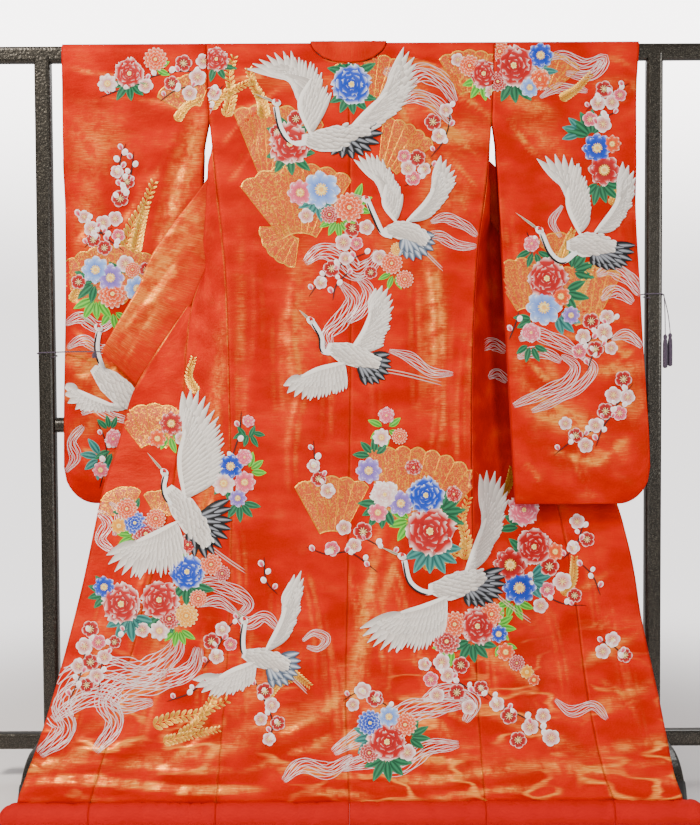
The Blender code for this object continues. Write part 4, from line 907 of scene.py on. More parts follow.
def hammeredMetal():
    made, tree, shader = newMaterial("hammered_dark_bronze_paint")
    place = addNode(tree, "TexCoord").outputs["Object"]
    dimples = addNode(tree, "TexVoronoi", {"feature": "SMOOTH_F1"}, Vector=place, Scale=190.0)
    speckle = addNode(tree, "TexVoronoi", Vector=place, Scale=480.0)
    spots = rangeOf(tree, speckle.outputs["Distance"], 0.34, 0.18)
    clouds = stretchedNoise(tree, place, (60, 60, 60), 3.0)
    base = mixColours(tree, clouds, linear("17140F"), linear("38332A"))
    tree.links.new(mixColours(tree, calculate(tree, "MULTIPLY", spots, 0.42), base, linear("A39C8C")),
                   shader.inputs["Base Color"])
    shader.inputs["Metallic"].default_value = 0.65
    shader.inputs["Roughness"].default_value = 0.33
    shader.inputs["Coat Weight"].default_value = 0.3
    shader.inputs["Coat Roughness"].default_value = 0.22
    bumpFrom(tree, shader, dimples.outputs["Distance"], 0.0011, 0.8)
    return made


def blackRubber():
    made, tree, shader = newMaterial("black_rubber")
    place = addNode(tree, "TexCoord").outputs["Object"]
    clouds = stretchedNoise(tree, place, (90, 90, 90), 2.0)
    tree.links.new(mixColours(tree, clouds, linear("0F0F0F"), linear("1C1B1A")), shader.inputs["Base Color"])
    shader.inputs["Roughness"].default_value = 0.55
    bumpFrom(tree, shader, stretchedNoise(tree, place, (700, 700, 700), 1.0), 0.0004, 0.4)
    return made


def violetSilk():
    made, tree, shader = newMaterial("dark_violet_silk_cord")
    place = addNode(tree, "TexCoord").outputs["Object"]
    twist = addNode(tree, "TexWave", {"bands_direction": "DIAGONAL"}, Vector=place, Scale=180.0, Distortion=1.0)
    tree.links.new(mixColours(tree, twist.outputs["Fac"], linear("1B1220"), linear("4A3352")),
                   shader.inputs["Base Color"])
    shader.inputs["Roughness"].default_value = 0.5
    shader.inputs["Sheen Weight"].default_value = 0.4
    bumpFrom(tree, shader, twist.outputs["Fac"], 0.0006, 0.8)
    return made


# both satins carry painted sheen; the collar's has a little more all over
looks = {"satin": redSatin("red_satin_gold_weft_painted_sheen"), "collar": redSatin("collar_satin_gold_weft_painted_sheen", 0.04),
         "lining": matteRed("red_silk_lining", "AC1006"), "crepe": matteRed("red_crepe", "BE0600"),
         "metal": hammeredMetal(), "rubber": blackRubber(), "violet": violetSilk()}

for name, item in pieces.items():
    if name.startswith("hem_roll"):
        item.data.materials.append(looks["crepe"])
    else:
        item.data.materials.append(looks["collar" if name == "collar" else "satin"])
        item.data.materials.append(looks["lining"])


def dressNode(name, look):
    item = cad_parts[name]
    for place in item.material_slots:
        place.link = "OBJECT"
        place.material = look


for item in allowances:
    item.data.materials.append(looks["lining"])

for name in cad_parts:
    if name.startswith("foot_cap"):
        dressNode(name, looks["rubber"])
    elif name.startswith(("post", "top_rail", "middle_rail", "lower_rail", "foot_")):
        dressNode(name, looks["metal"])

# Cords: from each collar corner across the face of the post and once round it
cords = {"postOut": 0.699, "tube": 0.037, "tubeRound": 0.008, "radius": 0.0014, "seat": 0.0010,
         "knotOut": 0.5755, "clear": {-1: 0.0016, 1: 0.0006}, "tasselRadius": 0.0011, "fit": 0.0003}


def roundPost(middle, turn, startZ, endZ):
    stand = cords["tube"] / 2 + cords["radius"] + cords["seat"]
    bend = cords["tubeRound"] + cords["radius"] + cords["seat"]
    flat, spots = stand - bend, []
    for corner in range(4):
        for k in range(3):
            angle = -math.pi / 2 - turn * (corner * math.pi / 2 + k * math.pi / 4)
            home = -math.pi / 2 - turn * (corner * math.pi / 2 + math.pi / 4)
            spots.append((middle + math.copysign(flat, math.cos(home)) + bend * math.cos(angle),
                          math.copysign(flat, math.sin(home)) + bend * math.sin(angle)))
    return [(x, y, startZ + (endZ - startZ) * k / 11) for k, (x, y) in enumerate(spots)]


def collarCorner(side):
    _, out, y, z = collarEdge[side][0]
    return draped((side * out, y, z)) + np.array([side * cords["clear"][side], 0.0, 0.0])


def smoothRoute(points, spacing):
    points = [np.array(p, float) for p in points]
    padded = [2 * points[0] - points[1]] + points + [2 * points[-1] - points[-2]]
    fine = []
    for a, b, c, d in zip(padded, padded[1:], padded[2:], padded[3:]):
        for k in range(12):
            t = k / 12
            fine.append(0.5 * (2 * b + (c - a) * t + (2 * a - 5 * b + 4 * c - d) * t**2
                               + (3 * b - a - 3 * c + d) * t**3))
    fine = np.array(fine + [points[-1]])
    runs = np.concatenate([[0], np.cumsum(np.linalg.norm(np.diff(fine, axis=0), axis=1))])
    even = np.linspace(0, runs[-1], max(2, round(runs[-1] / spacing)) + 1)
    return np.stack([np.interp(even, runs, fine[:, k]) for k in range(3)], axis=1)


def addCord(name, points, radius):
    route = smoothRoute(points, 3.0 * radius)
    route[:, 1] += backShift
    shape = bpy.data.curves.new(name, "CURVE")
    shape.dimensions = "3D"
    shape.bevel_depth = radius
    shape.bevel_resolution = 4
    shape.use_fill_caps = True
    line = shape.splines.new("POLY")
    line.points.add(len(route) - 1)
    line.points.foreach_set("co", np.concatenate([route, np.ones((len(route), 1))], axis=1).ravel())
    item = bpy.data.objects.new(name + "_silk", shape)
    bpy.context.scene.collection.objects.link(item)
    shape.materials.append(looks["violet"])
    pieces[name] = item
    return route, float(np.linalg.norm(np.diff(route, axis=0), axis=1).sum())


post = cords["postOut"]
leftRoute = ([collarCorner(-1), (-0.6250, -0.0640, 0.9992), (-0.6750, -0.0390, 0.9980)]
             + roundPost(-post, 1, 0.9970, 0.9860))
rightRoute = ([collarCorner(1), (0.6300, 0.0000, 1.1150), (0.6600, -0.0140, 1.1210), (0.6780, -0.0225, 1.1240)]
              + roundPost(post, -1, 1.1250, 1.1150))
cordFacts = {"tie_cord_left": addCord("tie_cord_left", leftRoute, cords["radius"]),
             "tie_cord_right": addCord("tie_cord_right", rightRoute, cords["radius"])}
loopSide = post + cords["tube"] / 2 + cords["seat"] + 2 * cords["radius"]


def addTassel(name, place, tall):
    # a bound head and a skirt of threads, each thread a ridge of the turned form
    around, rings = 40, 26
    down, angle = np.meshgrid(np.linspace(0, 1, rings), np.linspace(0, 2 * np.pi, around, endpoint=False), indexing="ij")
    head = np.interp(down, [0, 0.03, 0.09, 0.15, 0.20, 0.30, 0.6, 0.97, 1.0],
                     [0.0004, 0.0034, 0.0052, 0.0036, 0.0048, 0.0054, 0.0056, 0.0054, 0.0030])
    threads = 0.0003 * np.sin(10 * angle + 2 * down) * smoothStep(0.12, 0.22, down)
    radius = head + threads
    grid = np.stack([place[0] + radius * np.cos(angle), place[1] + radius * np.sin(angle),
                     place[2] - tall * down], axis=-1)
    index = np.arange(rings * around).reshape(rings, around)
    beside = np.roll(index, -1, axis=1)
    quads = np.stack([index[:-1], index[1:], beside[1:], beside[:-1]], axis=-1).reshape(-1, 4).tolist()
    points = grid.reshape(-1, 3)
    points[:, 1] += backShift
    mesh = bpy.data.meshes.new(name)
    mesh.from_pydata(points.tolist(), [], quads + [index[0].tolist(), index[-1][::-1].tolist()])
    mesh.update()
    mesh.polygons.foreach_set("use_smooth", np.ones(len(mesh.polygons), bool))
    mesh.materials.append(looks["violet"])
    item = bpy.data.objects.new(name + "_silk", mesh)
    bpy.context.scene.collection.objects.link(item)
    pieces[name] = item


for word, startY, out, deep, top, low in (("a", -0.0070, 0.7250, -0.0120, 1.0330, 0.9540),
                                          ("b", -0.0005, 0.7375, -0.0060, 1.0360, 0.9580)):
    route = [(loopSide + cords["tasselRadius"] + cords["fit"], startY, 1.1235),
             (loopSide * 0.7 + out * 0.3 + 0.0012, startY * 0.6 + deep * 0.4, 1.1050),
             (loopSide * 0.3 + out * 0.7 + 0.0006, startY * 0.2 + deep * 0.8, 1.0750), (out, deep, top + 0.0005),
             (out, deep, top - 0.030)]  # the last stretch runs on inside the tassel
    cordFacts["tassel_cord_" + word] = addCord("tassel_cord_" + word, route, cords["tasselRadius"])
    addTassel("tassel_" + word, (out, deep, top), top - low)

fluff = smoothRoute(leftRoute, 0.001)
fluffSpot = fluff[int(np.argmin(np.abs(fluff[:, 0] + cords["knotOut"])))]
addTassel("tie_knot_left", fluffSpot - np.array([0, 0, cords["radius"] + cords["fit"]]), 0.0125)

for name in pieces:
    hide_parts(name)
print("cords tied, materials made")

# Embroidery. Each motif is a set of small patches, laid on the cloth where it hangs. Their points are
# (across, down) in pixels of the photograph, with a height above the cloth in metres.
mapStep = 0.004
places = {
    "robe": (["body_left", "body_right", "okumi_left", "okumi_right"], (-0.72, 0.055), (0.72, 1.70), -1),
    "collar": (["collar"], (-0.60, 0.90), (-0.15, 1.60), -1),
    "sleeveLeft": (["sleeve_left"], (-0.665, 0.65), (-0.30, 1.70), -1),
    "sleeveRight": (["sleeve_right"], (0.31, 0.64), (0.69, 1.70), -1),
    "sleeveLeftRear": (["sleeve_left"], (-0.665, 0.65), (-0.30, 1.70), 1),
    "sleeveRightRear": (["sleeve_right"], (0.31, 0.64), (0.69, 1.70), 1)}
for crossing in ("robe", "sleeveLeft", "sleeveRight", "sleeveLeftRear", "sleeveRightRear"):
    places[crossing + "Cranes"] = places[crossing + "Ground"] = places[crossing]
clothMaps = {}


def readMap(place):
    # depth of the nearest cloth on a square grid, by rays, grown a little past its edges
    names, low, high, side = places[place]
    same = place.removesuffix("Cranes").removesuffix("Ground")
    if same in clothMaps:
        clothMaps[place] = clothMaps[same]
        return
    points, faces, count = [], [], 0
    for name in names:
        mesh = pieces[name].data
        flat = np.empty(len(mesh.vertices) * 3)
        mesh.vertices.foreach_get("co", flat)
        corners = np.empty(len(mesh.loops), np.int32)
        mesh.loops.foreach_get("vertex_index", corners)
        points.append(flat.reshape(-1, 3))
        faces.append(corners.reshape(-1, 4) + count)
        count += len(mesh.vertices)
    tree = BVHTree.FromPolygons(np.concatenate(points).tolist(), np.concatenate(faces).tolist())
    across = np.arange(low[0], high[0], mapStep)
    up = np.arange(low[1], high[1], mapStep)
    towards = Vector((0, -side, 0))
    read = [tree.ray_cast(Vector((x, side * 2.0, z)), towards)[0] for x in across.tolist() for z in up.tolist()]
    depth = np.array([np.nan if hit is None else hit[1] for hit in read]).reshape(len(across), len(up))
    # a ray that slips through a seam takes the depth of the silk beside it
    near, far = np.roll(depth, 1, axis=0), np.roll(depth, -1, axis=0)
    slipped = (np.abs(near - far) < 0.006) & ~(np.abs(depth - (near + far) / 2) < 0.006)
    depth = np.where(slipped, (near + far) / 2, depth)
    real = ~np.isnan(depth)
    for _ in range(8):
        around = np.stack([np.roll(depth, step, axis) for axis in (0, 1) for step in (-1, 1)])
        known = ~np.isnan(around)
        mean = np.where(known, around, 0).sum(axis=0) / np.maximum(known.sum(axis=0), 1)
        depth = np.where(np.isnan(depth) & known.any(axis=0), mean, depth)
    clothMaps[place] = clothMaps[same] = (low, np.nan_to_num(depth, nan=backShift - 0.05), real)


def clothDepth(place, x, z):
    low, depth, real = clothMaps[place]
    column = np.clip((x - low[0]) / mapStep, 0, depth.shape[0] - 1.001)
    row = np.clip((z - low[1]) / mapStep, 0, depth.shape[1] - 1.001)
    i, j = column.astype(int), row.astype(int)
    a, b = column - i, row - j
    level = ((1 - a) * (1 - b) * depth[i, j] + a * (1 - b) * depth[i + 1, j]
             + (1 - a) * b * depth[i, j + 1] + a * b * depth[i + 1, j + 1])
    inside = ((x > low[0]) & (x < low[0] + mapStep * depth.shape[0]) & (z > low[1])
              & (z < low[1] + mapStep * depth.shape[1]))
    return level, real[np.rint(column).astype(int), np.rint(row).astype(int)] & inside


stitches = {}
chance = np.random.default_rng(11)


def dye(code):
    return np.array(linear(code)[:3])


def lay(place, yarn, grid, colour, comb):
    # grid is (patches, along, across, 3); the comb tells which way the threads run
    patches, along, across = grid.shape[:3]
    index = np.arange(patches * along * across).reshape(patches, along, across)
    quads = np.stack([index[:, :-1, :-1], index[:, 1:, :-1], index[:, 1:, 1:], index[:, :-1, 1:]], axis=-1)
    stitches.setdefault(place, []).append(
        (yarn, grid.reshape(-1, 3), quads.reshape(-1, 4),
         np.broadcast_to(colour, grid.shape).reshape(-1, 3), comb.reshape(-1, 2)))


def petals(place, u, v, angles, lengths, widths, height, colours, start=0.0, rise=0.0006, form=(1.3, 0.5),
           rim=0.22, steps=(8, 5), curl=0.0, ruffle=0.0, yarn="silk", shade=None, vein=None):
    # each petal runs out from (u, v) at its angle, a domed patch whose half width is a sine arch
    angles = np.radians(np.atleast_1d(np.asarray(angles, float)))
    count = len(angles)
    u, v, lengths, widths, start, height, curl = [
        np.broadcast_to(np.asarray(value, float), (count,))[:, None, None]
        for value in (u, v, lengths, widths, start, height, curl)]
    along = (1 - (1 - np.linspace(0, 1, steps[0]))**1.25)[None, :, None]
    across = np.array({4: [-1, -0.8, 0.8, 1], 6: [-1, -0.87, -0.35, 0.35, 0.87, 1]}.get(
        steps[1], np.linspace(-1, 1, steps[1])))[None, None, :]
    arch = np.clip(np.sin(np.pi * np.clip(along, 0.0, 0.985)**form[0]), 0.02, 1)**form[1]
    phase = chance.uniform(0, 6.28, count)[:, None, None]
    wave = 1 + ruffle * np.sin(across * 5 + phase) * along**2
    out = start + lengths * along * wave
    off = widths / 2 * across * arch + curl * lengths * along**2
    turn = angles[:, None, None]
    x = u + np.cos(turn) * out - np.sin(turn) * off
    y = v - np.sin(turn) * out - np.cos(turn) * off
    high = (height + rise * (1 - across**2) * np.sin(np.pi * np.clip(along * 0.92 + 0.04, 0, 1))**0.6
            + 0.00004 * np.arange(count)[:, None, None])
    inner, outer, edge = [dye(code) for code in colours]
    mixed = inner + (outer - inner) * (along**1.3)[..., None]
    rimShare = smoothStep(1 - rim, 1 - rim * 0.25, np.maximum(np.abs(across), along))[..., None]
    mixed = mixed + (edge - mixed) * rimShare
    # painted shade: one side of each patch is darkened, where the next one overlaps it
    if shade is not None:
        mixed = mixed + (dye(shade) - mixed) * (0.75 * smoothStep(-0.35, -1.0, across))[..., None]
    if vein is not None:
        mixed = mixed + (dye(vein) - mixed) * (0.8 * smoothStep(0.22, 0.05, np.abs(across)))[..., None]
    grid = np.stack(np.broadcast_arrays(x, y, high), axis=-1)
    comb = np.stack(np.broadcast_arrays(lengths * along, widths / 2 * across + 0 * along), axis=-1) * 0.0023
    lay(place, yarn, grid, np.broadcast_to(mixed, grid.shape), comb)


def smoothLine(points, count):
    points = np.array(points, float)
    line = smoothRoute([np.append(p, 0.0) for p in points], 1.0)[:, :2]
    return line[np.round(np.linspace(0, len(line) - 1, count)).astype(int)]


def strips(place, lines, width, height, code, yarn="silk", taper=True, rise=0.35):
    # threads laid along lines of (across, down), each a narrow patch raised in the middle
    lines = np.asarray(lines, float)
    run = np.gradient(lines, axis=1)
    run /= np.maximum(np.linalg.norm(run, axis=2, keepdims=True), 1e-6)
    left = np.stack([run[..., 1], -run[..., 0]], axis=-1)
    along = np.linspace(0, 1, lines.shape[1])
    narrow = (np.clip(np.sin(np.pi * along), 0.0, 1)**0.35 * 0.85 + 0.15) if taper else np.ones_like(along)
    across = np.array([-1, 0, 1.0])
    half = np.asarray(width, float) / 2 * narrow
    grid = lines[:, :, None, :] + left[:, :, None, :] * (half[None, :, None] * across)[..., None]
    high = height + rise * np.asarray(width) * 0.0023 * (1 - across**2) * 0.5
    grid = np.concatenate([grid, np.broadcast_to(high, grid.shape[:3])[..., None]], axis=-1)
    length = np.cumsum(np.linalg.norm(np.diff(lines, axis=1, prepend=lines[:, :1]), axis=2), axis=1)
    comb = np.stack(np.broadcast_arrays(length[:, :, None], half[None, :, None] * across), axis=-1) * 0.0023
    lay(place, yarn, grid, dye(code), comb)


hues = {"blue": ("041E8C", "1448C8", "E2EAF6"), "paleBlue": ("1E54C4", "9CBCEC", "F4F6FA"),
        "red": ("780206", "C60806", "FBE6DC"), "pink": ("BC1C42", "EC7086", "FFEFEC"),
        "orange": ("B82002", "F05804", "FFE8CC"), "yellow": ("D06A02", "F8AC0C", "FFF0B4"),
        "lavender": ("4E349A", "9C80D0", "F2ECF8"), "white": ("C4281E", "F4EAE4", "FFFCF8"),
        "pearl": ("F0C4BC", "FAF4EE", "FFFFFF")}
greens = {"dark": ("03301C", "0A5232", "2C8658"), "bright": ("0C5C0A", "22A010", "80D83C"),
          "teal": ("06383A", "16645C", "4C9C90")}


def spread(count, turn=0.0, wobble=6.0):
    return turn + 360 / count * np.arange(count) + chance.uniform(-wobble, wobble, count)


def core(place, u, v, size, height, code="F2B410", dots=7):
    petals(place, u, v, spread(dots, 0, 4), size, size * 0.8, height, (code, code, "FFF0A0"), rise=0.0005,
           steps=(4, 3), form=(1.0, 0.5), rim=0.5)


def peony(place, u, v, size, hue):
    inner, outer, edge = hues[hue]
    for count, reach, wide, level in ((8, 1.0, 0.92, 0), (7, 0.78, 0.80, 1), (6, 0.55, 0.62, 2), (5, 0.33, 0.42, 3)):
        petals(place, u, v, spread(count, 23 * level, 9), size * reach * chance.uniform(0.90, 1.05, count),
               size * wide, 0.0012 + 0.00048 * level, (inner, outer, edge), rise=0.0011, form=(1.7, 0.42),
               rim=0.13, ruffle=0.09, steps=(8, 6))
    core(place, u, v, size * 0.16, 0.0035)


def mum(place, u, v, size, hue):
    inner, outer, edge = hues[hue]
    for count, reach, level in ((15, 1.0, 0), (12, 0.70, 1), (8, 0.42, 2)):
        petals(place, u, v, spread(count, 10 * level, 2), size * reach, size * 0.38 * reach**0.5,
               0.0013 + 0.00038 * level, (inner, outer, edge), rise=0.0006, form=(1.6, 0.45), rim=0.16,
               steps=(6, 4), curl=0.06)
    core(place, u, v, size * 0.15, 0.0031)


def openFlower(place, u, v, size, hue):
    inner, outer, edge = hues[hue]
    for count, reach, level in ((8, 1.0, 0), (7, 0.80, 1)):
        petals(place, u, v, spread(count, 22 * level, 5), size * reach, size * 0.66 * reach, 0.0013 + 0.0004 * level,
               (inner, outer, edge), rise=0.0008, form=(1.5, 0.55), rim=0.13, ruffle=0.04, steps=(7, 6))
    petals(place, u, v, spread(16, 0, 5), size * 0.36, size * 0.09, 0.0024, ("D86A08", "F6A81E", "FFD860"),
           rise=0.0003, steps=(4, 3), rim=0.4)
    core(place, u, v, size * 0.24, 0.0028, "F0960C", 8)


def plum(place, u, v, size, hue):
    inner, outer, edge = hues[hue]
    turn = chance.uniform(0, 72)
    petals(place, u, v, spread(5, turn, 3), size * 0.86, size * 0.92, 0.0012, (inner, outer, edge), start=size * 0.10,
           rise=0.0008, form=(1.25, 0.42), rim=0.16, steps=(7, 4))
    petals(place, u, v, spread(9, turn, 5), size * 0.46, size * 0.07, 0.0023, ("F6D060", "F6D060", "FFF4C0"),
           rise=0.0002, steps=(4, 3))
    core(place, u, v, size * 0.12, 0.0025, "F6C81E", 5)


def bud(place, u, v, size, hue="white", angle=90):
    petals(place, u, v, angle, size * 1.9, size * 1.6, 0.0013, hues[hue], start=-size * 0.9, rise=0.0010,
           form=(1.05, 0.40), steps=(7, 6), rim=0.3)


def leaves(place, u, v, size, angles, tone="dark", start=0.0):
    angles = np.asarray(angles, float)
    petals(place, u, v, angles, size * chance.uniform(0.76, 0.98, len(angles)), size * 0.38, 0.0008,
           greens[tone], start=start, rise=0.0006, form=(0.85, 0.75), rim=0.16,
           steps=(8, 5), curl=0.10, vein=greens[tone][2])


def twig(place, points, width=1.3, code="1A1210"):
    strips(place, [smoothLine(points, max(8, 5 * len(points)))], width, 0.0007, code)


def spray(place, points, size, yarn="gold"):
    # a curved stem with pairs of small leaves that shrink to its tip
    line = smoothLine(points, 14)
    strips(place, [line], 1.0, 0.0005, "D89A28", yarn)
    run = np.gradient(line, axis=0)
    heading = np.degrees(np.arctan2(-run[:, 1], run[:, 0]))
    share = np.linspace(1.0, 0.55, len(line))
    for turn in (42, -42):
        petals(place, line[:, 0], line[:, 1], heading + turn, size * share, size * 0.42 * share, 0.0006,
               ("B87414", "E8AC34", "FFD87C"), start=0.6, rise=0.0004, form=(1.1, 0.6), steps=(6, 4), yarn=yarn)


def water(place, points, width, count=9, wobble=0.10, pinch=0.30, yarn="silver", code="D8C6C3"):
    # a stream: thin threads side by side that draw together and part again
    line = smoothLine(points, max(26, int(9 * len(points))))
    run = np.gradient(line, axis=0)
    run /= np.linalg.norm(run, axis=1, keepdims=True)
    left = np.stack([run[:, 1], -run[:, 0]], axis=1)
    along = np.linspace(0, 1, len(line))
    body = pinch + (1 - pinch) * np.sin(np.pi * along)**0.7
    lines, count = [], round(count * 1.35)
    span = np.linalg.norm(np.diff(line, axis=0), axis=1).sum()
    for k in range(count):
        share = (k + 0.5) / count - 0.5
        sway = wobble * np.sin(2 * np.pi * (along * 1.6 + 0.11 * k)) + 0.09 * np.sin(2 * np.pi * (along * span / 30 + 0.37 * k))
        lines.append(line + left * (width * (share * body + sway * 0.5 * body))[:, None])
    strips(place, lines, np.clip(width / count * 0.42, 0.50, 0.85), 0.0004, code, yarn)


def fan(place, u, v, near, far, low, high, blades=7, yarn="brocade"):
    # an open fan: blades between two radii, each with a rounded end, and cords along the folds
    around = np.radians(np.linspace(low, high, blades * 8 + 1))
    along = np.linspace(0, 1, 14)
    lobes = 1 + 0.035 * np.abs(np.sin(np.linspace(0, np.pi * blades, len(around))))
    radius = near + (far * lobes[None, :] - near) * along[:, None]
    fold = 0.0002 + 0.00025 * np.abs(np.sin(np.linspace(0, np.pi * blades, len(around))))
    grid = np.stack([u + radius * np.cos(around), v - radius * np.sin(around),
                     np.broadcast_to(fold, radius.shape)], axis=-1)
    comb = np.stack([radius, np.broadcast_to(around * far, radius.shape)], axis=-1) * 0.0023
    lay(place, yarn, grid[None], dye("E8A63A"), comb[None])
    ribs = np.radians(np.linspace(low, high, blades + 1))
    rays = np.linspace(near, far, 8)
    strips(place, np.stack([u + rays * np.cos(ribs)[:, None], v - rays * np.sin(ribs)[:, None]], axis=-1), 0.8,
           0.0006, "D88A24", "gold", taper=False)
    for reach in (near, far):
        swell = reach * (lobes if reach == far else 1 + 0 * lobes)
        strips(place, [np.stack([u + swell * np.cos(around), v - swell * np.sin(around)], axis=1)], 1.3, 0.0006,
               "ECAA40", "gold", taper=False)


# Cranes. A wing is an arm from its root to its wrist and a line that the feather tips follow, from the
# first feather of the wrist to the last one at the body.
white = ("D6CEC4", "F2ECE2", "FFFCF6")
tails = {"black": ("08080A", "121216", "040405", "A6ABB4"), "grey": ("4A586C", "66768C", "2C3644", "D4DAE2")}
# rows of feathers: first and last place along the tips, share of the count, reach, width, form, height, roughness
featherRows = [(0.0, 0.46, 0.42, 1.0, 9.6, (0.80, 0.80), 0.0, 0.0), (0.40, 1.0, 0.95, 0.93, 5.6, (1.0, 0.55), 0.0003, 0.09),
               (0.0, 1.0, 1.15, 0.60, 5.2, (1.1, 0.45), 0.0009, 0.07), (0.02, 1.0, 1.05, 0.42, 4.8, (1.1, 0.45), 0.0014, 0.08),
               (0.05, 0.97, 0.95, 0.25, 4.4, (1.1, 0.45), 0.0019, 0.10)]


def wing(place, arm, tips, count, level=0.0):
    arm, tips = smoothLine(arm, 40), smoothLine(tips, 80)
    for first, last, share, reach, wide, form, high, uneven in featherRows:
        number = max(4, round(count * share))
        f = np.linspace(first, last, number)
        base = arm[np.round((0.97 - 0.92 * f) * 39).astype(int)]
        tip = base + (tips[np.round(f * 79).astype(int)] - base) * (reach * chance.uniform(1 - uneven, 1 + uneven / 2, number)[:, None])
        away = tip - base
        petals(place, base[:, 0], base[:, 1], np.degrees(np.arctan2(-away[:, 1], away[:, 0])),
               np.hypot(away[:, 0], away[:, 1]), wide, 0.0011 + level + high, white, rise=0.0008, form=form, rim=0.05,
               steps=(9, 4), curl=0.04, shade="8C8078")
    strips(place, [arm], 4.6, 0.0034 + level, "F2ECE2", rise=0.25)


def plumes(place, root, tips, count, tone, level=0.0):
    tips = smoothLine(tips, 40)
    inner, outer, edge, streak = tails[tone]
    for number, near, far, wide, high in ((count, 0.30, 1.0, 9.0, 0.0), (count - 1, 0.10, 0.74, 8.4, 0.0007)):
        f = np.linspace(0.02 if high else 0.0, 0.98 if high else 1.0, number)
        tip = tips[np.round(f * 39).astype(int)]
        base = np.array(root, float) + (tip - np.array(root, float)) * near
        away = tip - base
        lengths = np.hypot(away[:, 0], away[:, 1]) * (far - near) / (1 - near)
        petals(place, base[:, 0], base[:, 1], np.degrees(np.arctan2(-away[:, 1], away[:, 0])), lengths, wide,
               0.0016 + level + high, (inner, outer, edge), rise=0.0009, form=(1.0, 0.62), rim=0.10, steps=(9, 5),
               curl=-0.08, vein=streak)


def crane(place, parts):
    if "legs" in parts:
        line = smoothLine(parts["legs"], 16)
        strips(place, [line, line + np.array([0.4, 3.2])], 1.3, 0.0010, "C89A8C")
    if "tail" in parts:
        plumes(place, parts["tailRoot"], parts["tail"], parts.get("plumes", 9), parts.get("tone", "black"))
    for k, (arm, tips, count) in enumerate(parts["wings"]):
        wing(place, arm, tips, count, 0.0003 * k)
    if "body" in parts:
        spine = smoothLine([p[:2] for p in parts["body"]], 30)
        half = np.interp(np.linspace(0, 1, 30), np.linspace(0, 1, len(parts["body"])), [p[2] for p in parts["body"]])
        run = np.gradient(spine, axis=0)
        run /= np.linalg.norm(run, axis=1, keepdims=True)
        left = np.stack([run[:, 1], -run[:, 0]], axis=1)
        across = np.linspace(-1, 1, 11)
        along = np.linspace(0, 1, 30)[:, None]
        spots = spine[:, None, :] + left[:, None, :] * (half[:, None] * across)[..., None]
        high = 0.0026 + 0.0018 * (1 - across**2)[None, :] * np.sin(np.pi * (0.06 + 0.88 * along))**0.5
        # small body feathers: rows of scales, with painted shade where one tucks under the next
        scale = np.mod(along * 11 + 0.5 * np.abs(np.mod(across * 2.5, 1) - 0.5), 1.0)[..., None]
        colour = dye("EEE8DE") + (dye("968C84") - dye("EEE8DE")) * (0.6 * smoothStep(0.72, 0.98, scale))
        grid = np.concatenate([spots, high[..., None]], axis=-1)
        comb = np.stack(np.broadcast_arrays(along * 60, half[:, None] * across), axis=-1) * 0.0023
        lay(place, "silk", grid[None], colour[None], comb[None])
        row, column = [part.ravel() for part in np.meshgrid(np.arange(2, 27, 2), np.linspace(-0.72, 0.72, 5), indexing="ij")]
        side = column + 0.16 * (row % 4 > 1)
        spots = spine[row] + left[row] * (half[row] * side)[:, None]
        heading = np.degrees(np.arctan2(-run[row, 1], run[row, 0])) + chance.uniform(-14, 14, len(row))
        petals(place, spots[:, 0], spots[:, 1], heading, 8.0, 4.0, 0.0027 + 0.0019 * (1 - side**2), white,
               rise=0.0005, form=(1.1, 0.5), rim=0.06, steps=(5, 4), shade="9A8F86")
    neck = smoothLine(parts["neck"], 24)
    girth = np.linspace(6.0, 3.6, 24)
    run = np.gradient(neck, axis=0)
    run /= np.linalg.norm(run, axis=1, keepdims=True)
    left = np.stack([run[:, 1], -run[:, 0]], axis=1)
    strips(place, [neck], 5.6, 0.0030, "EEECE8", taper=False, rise=0.25)
    throat = neck[6:] + left[6:] * (parts.get("throat", 1) * girth[6:, None] * 0.36)
    strips(place, [throat], 2.6, 0.0038, "08080A", rise=0.2)
    head, beak = np.array(parts["head"], float), np.array(parts["beak"], float)
    away = beak - head
    angle = math.degrees(math.atan2(-away[1], away[0]))
    petals(place, head[0], head[1], angle, 9.5, 7.0, 0.0036, white, start=-4.5, rise=0.0012, form=(0.9, 0.45))
    petals(place, head[0], head[1], angle, math.hypot(*away) - 3, 2.6, 0.0040, ("5C5448", "A89878", "D0C4A4"),
           start=3.0, rise=0.0004, form=(0.45, 0.8), steps=(8, 3))
    petals(place, head[0], head[1] - 2.2, angle, 4.6, 3.0, 0.0049, ("C00810", "D81018", "E84038"), start=-2.6,
           rise=0.0004, form=(1.0, 0.5), steps=(6, 4))
    petals(place, head[0] + away[0] * 0.05, head[1] + away[1] * 0.05, 0, 1.5, 1.5, 0.0052, ("040404",) * 3, start=-0.7,
           rise=0.0002, steps=(5, 4), form=(1.0, 0.5))


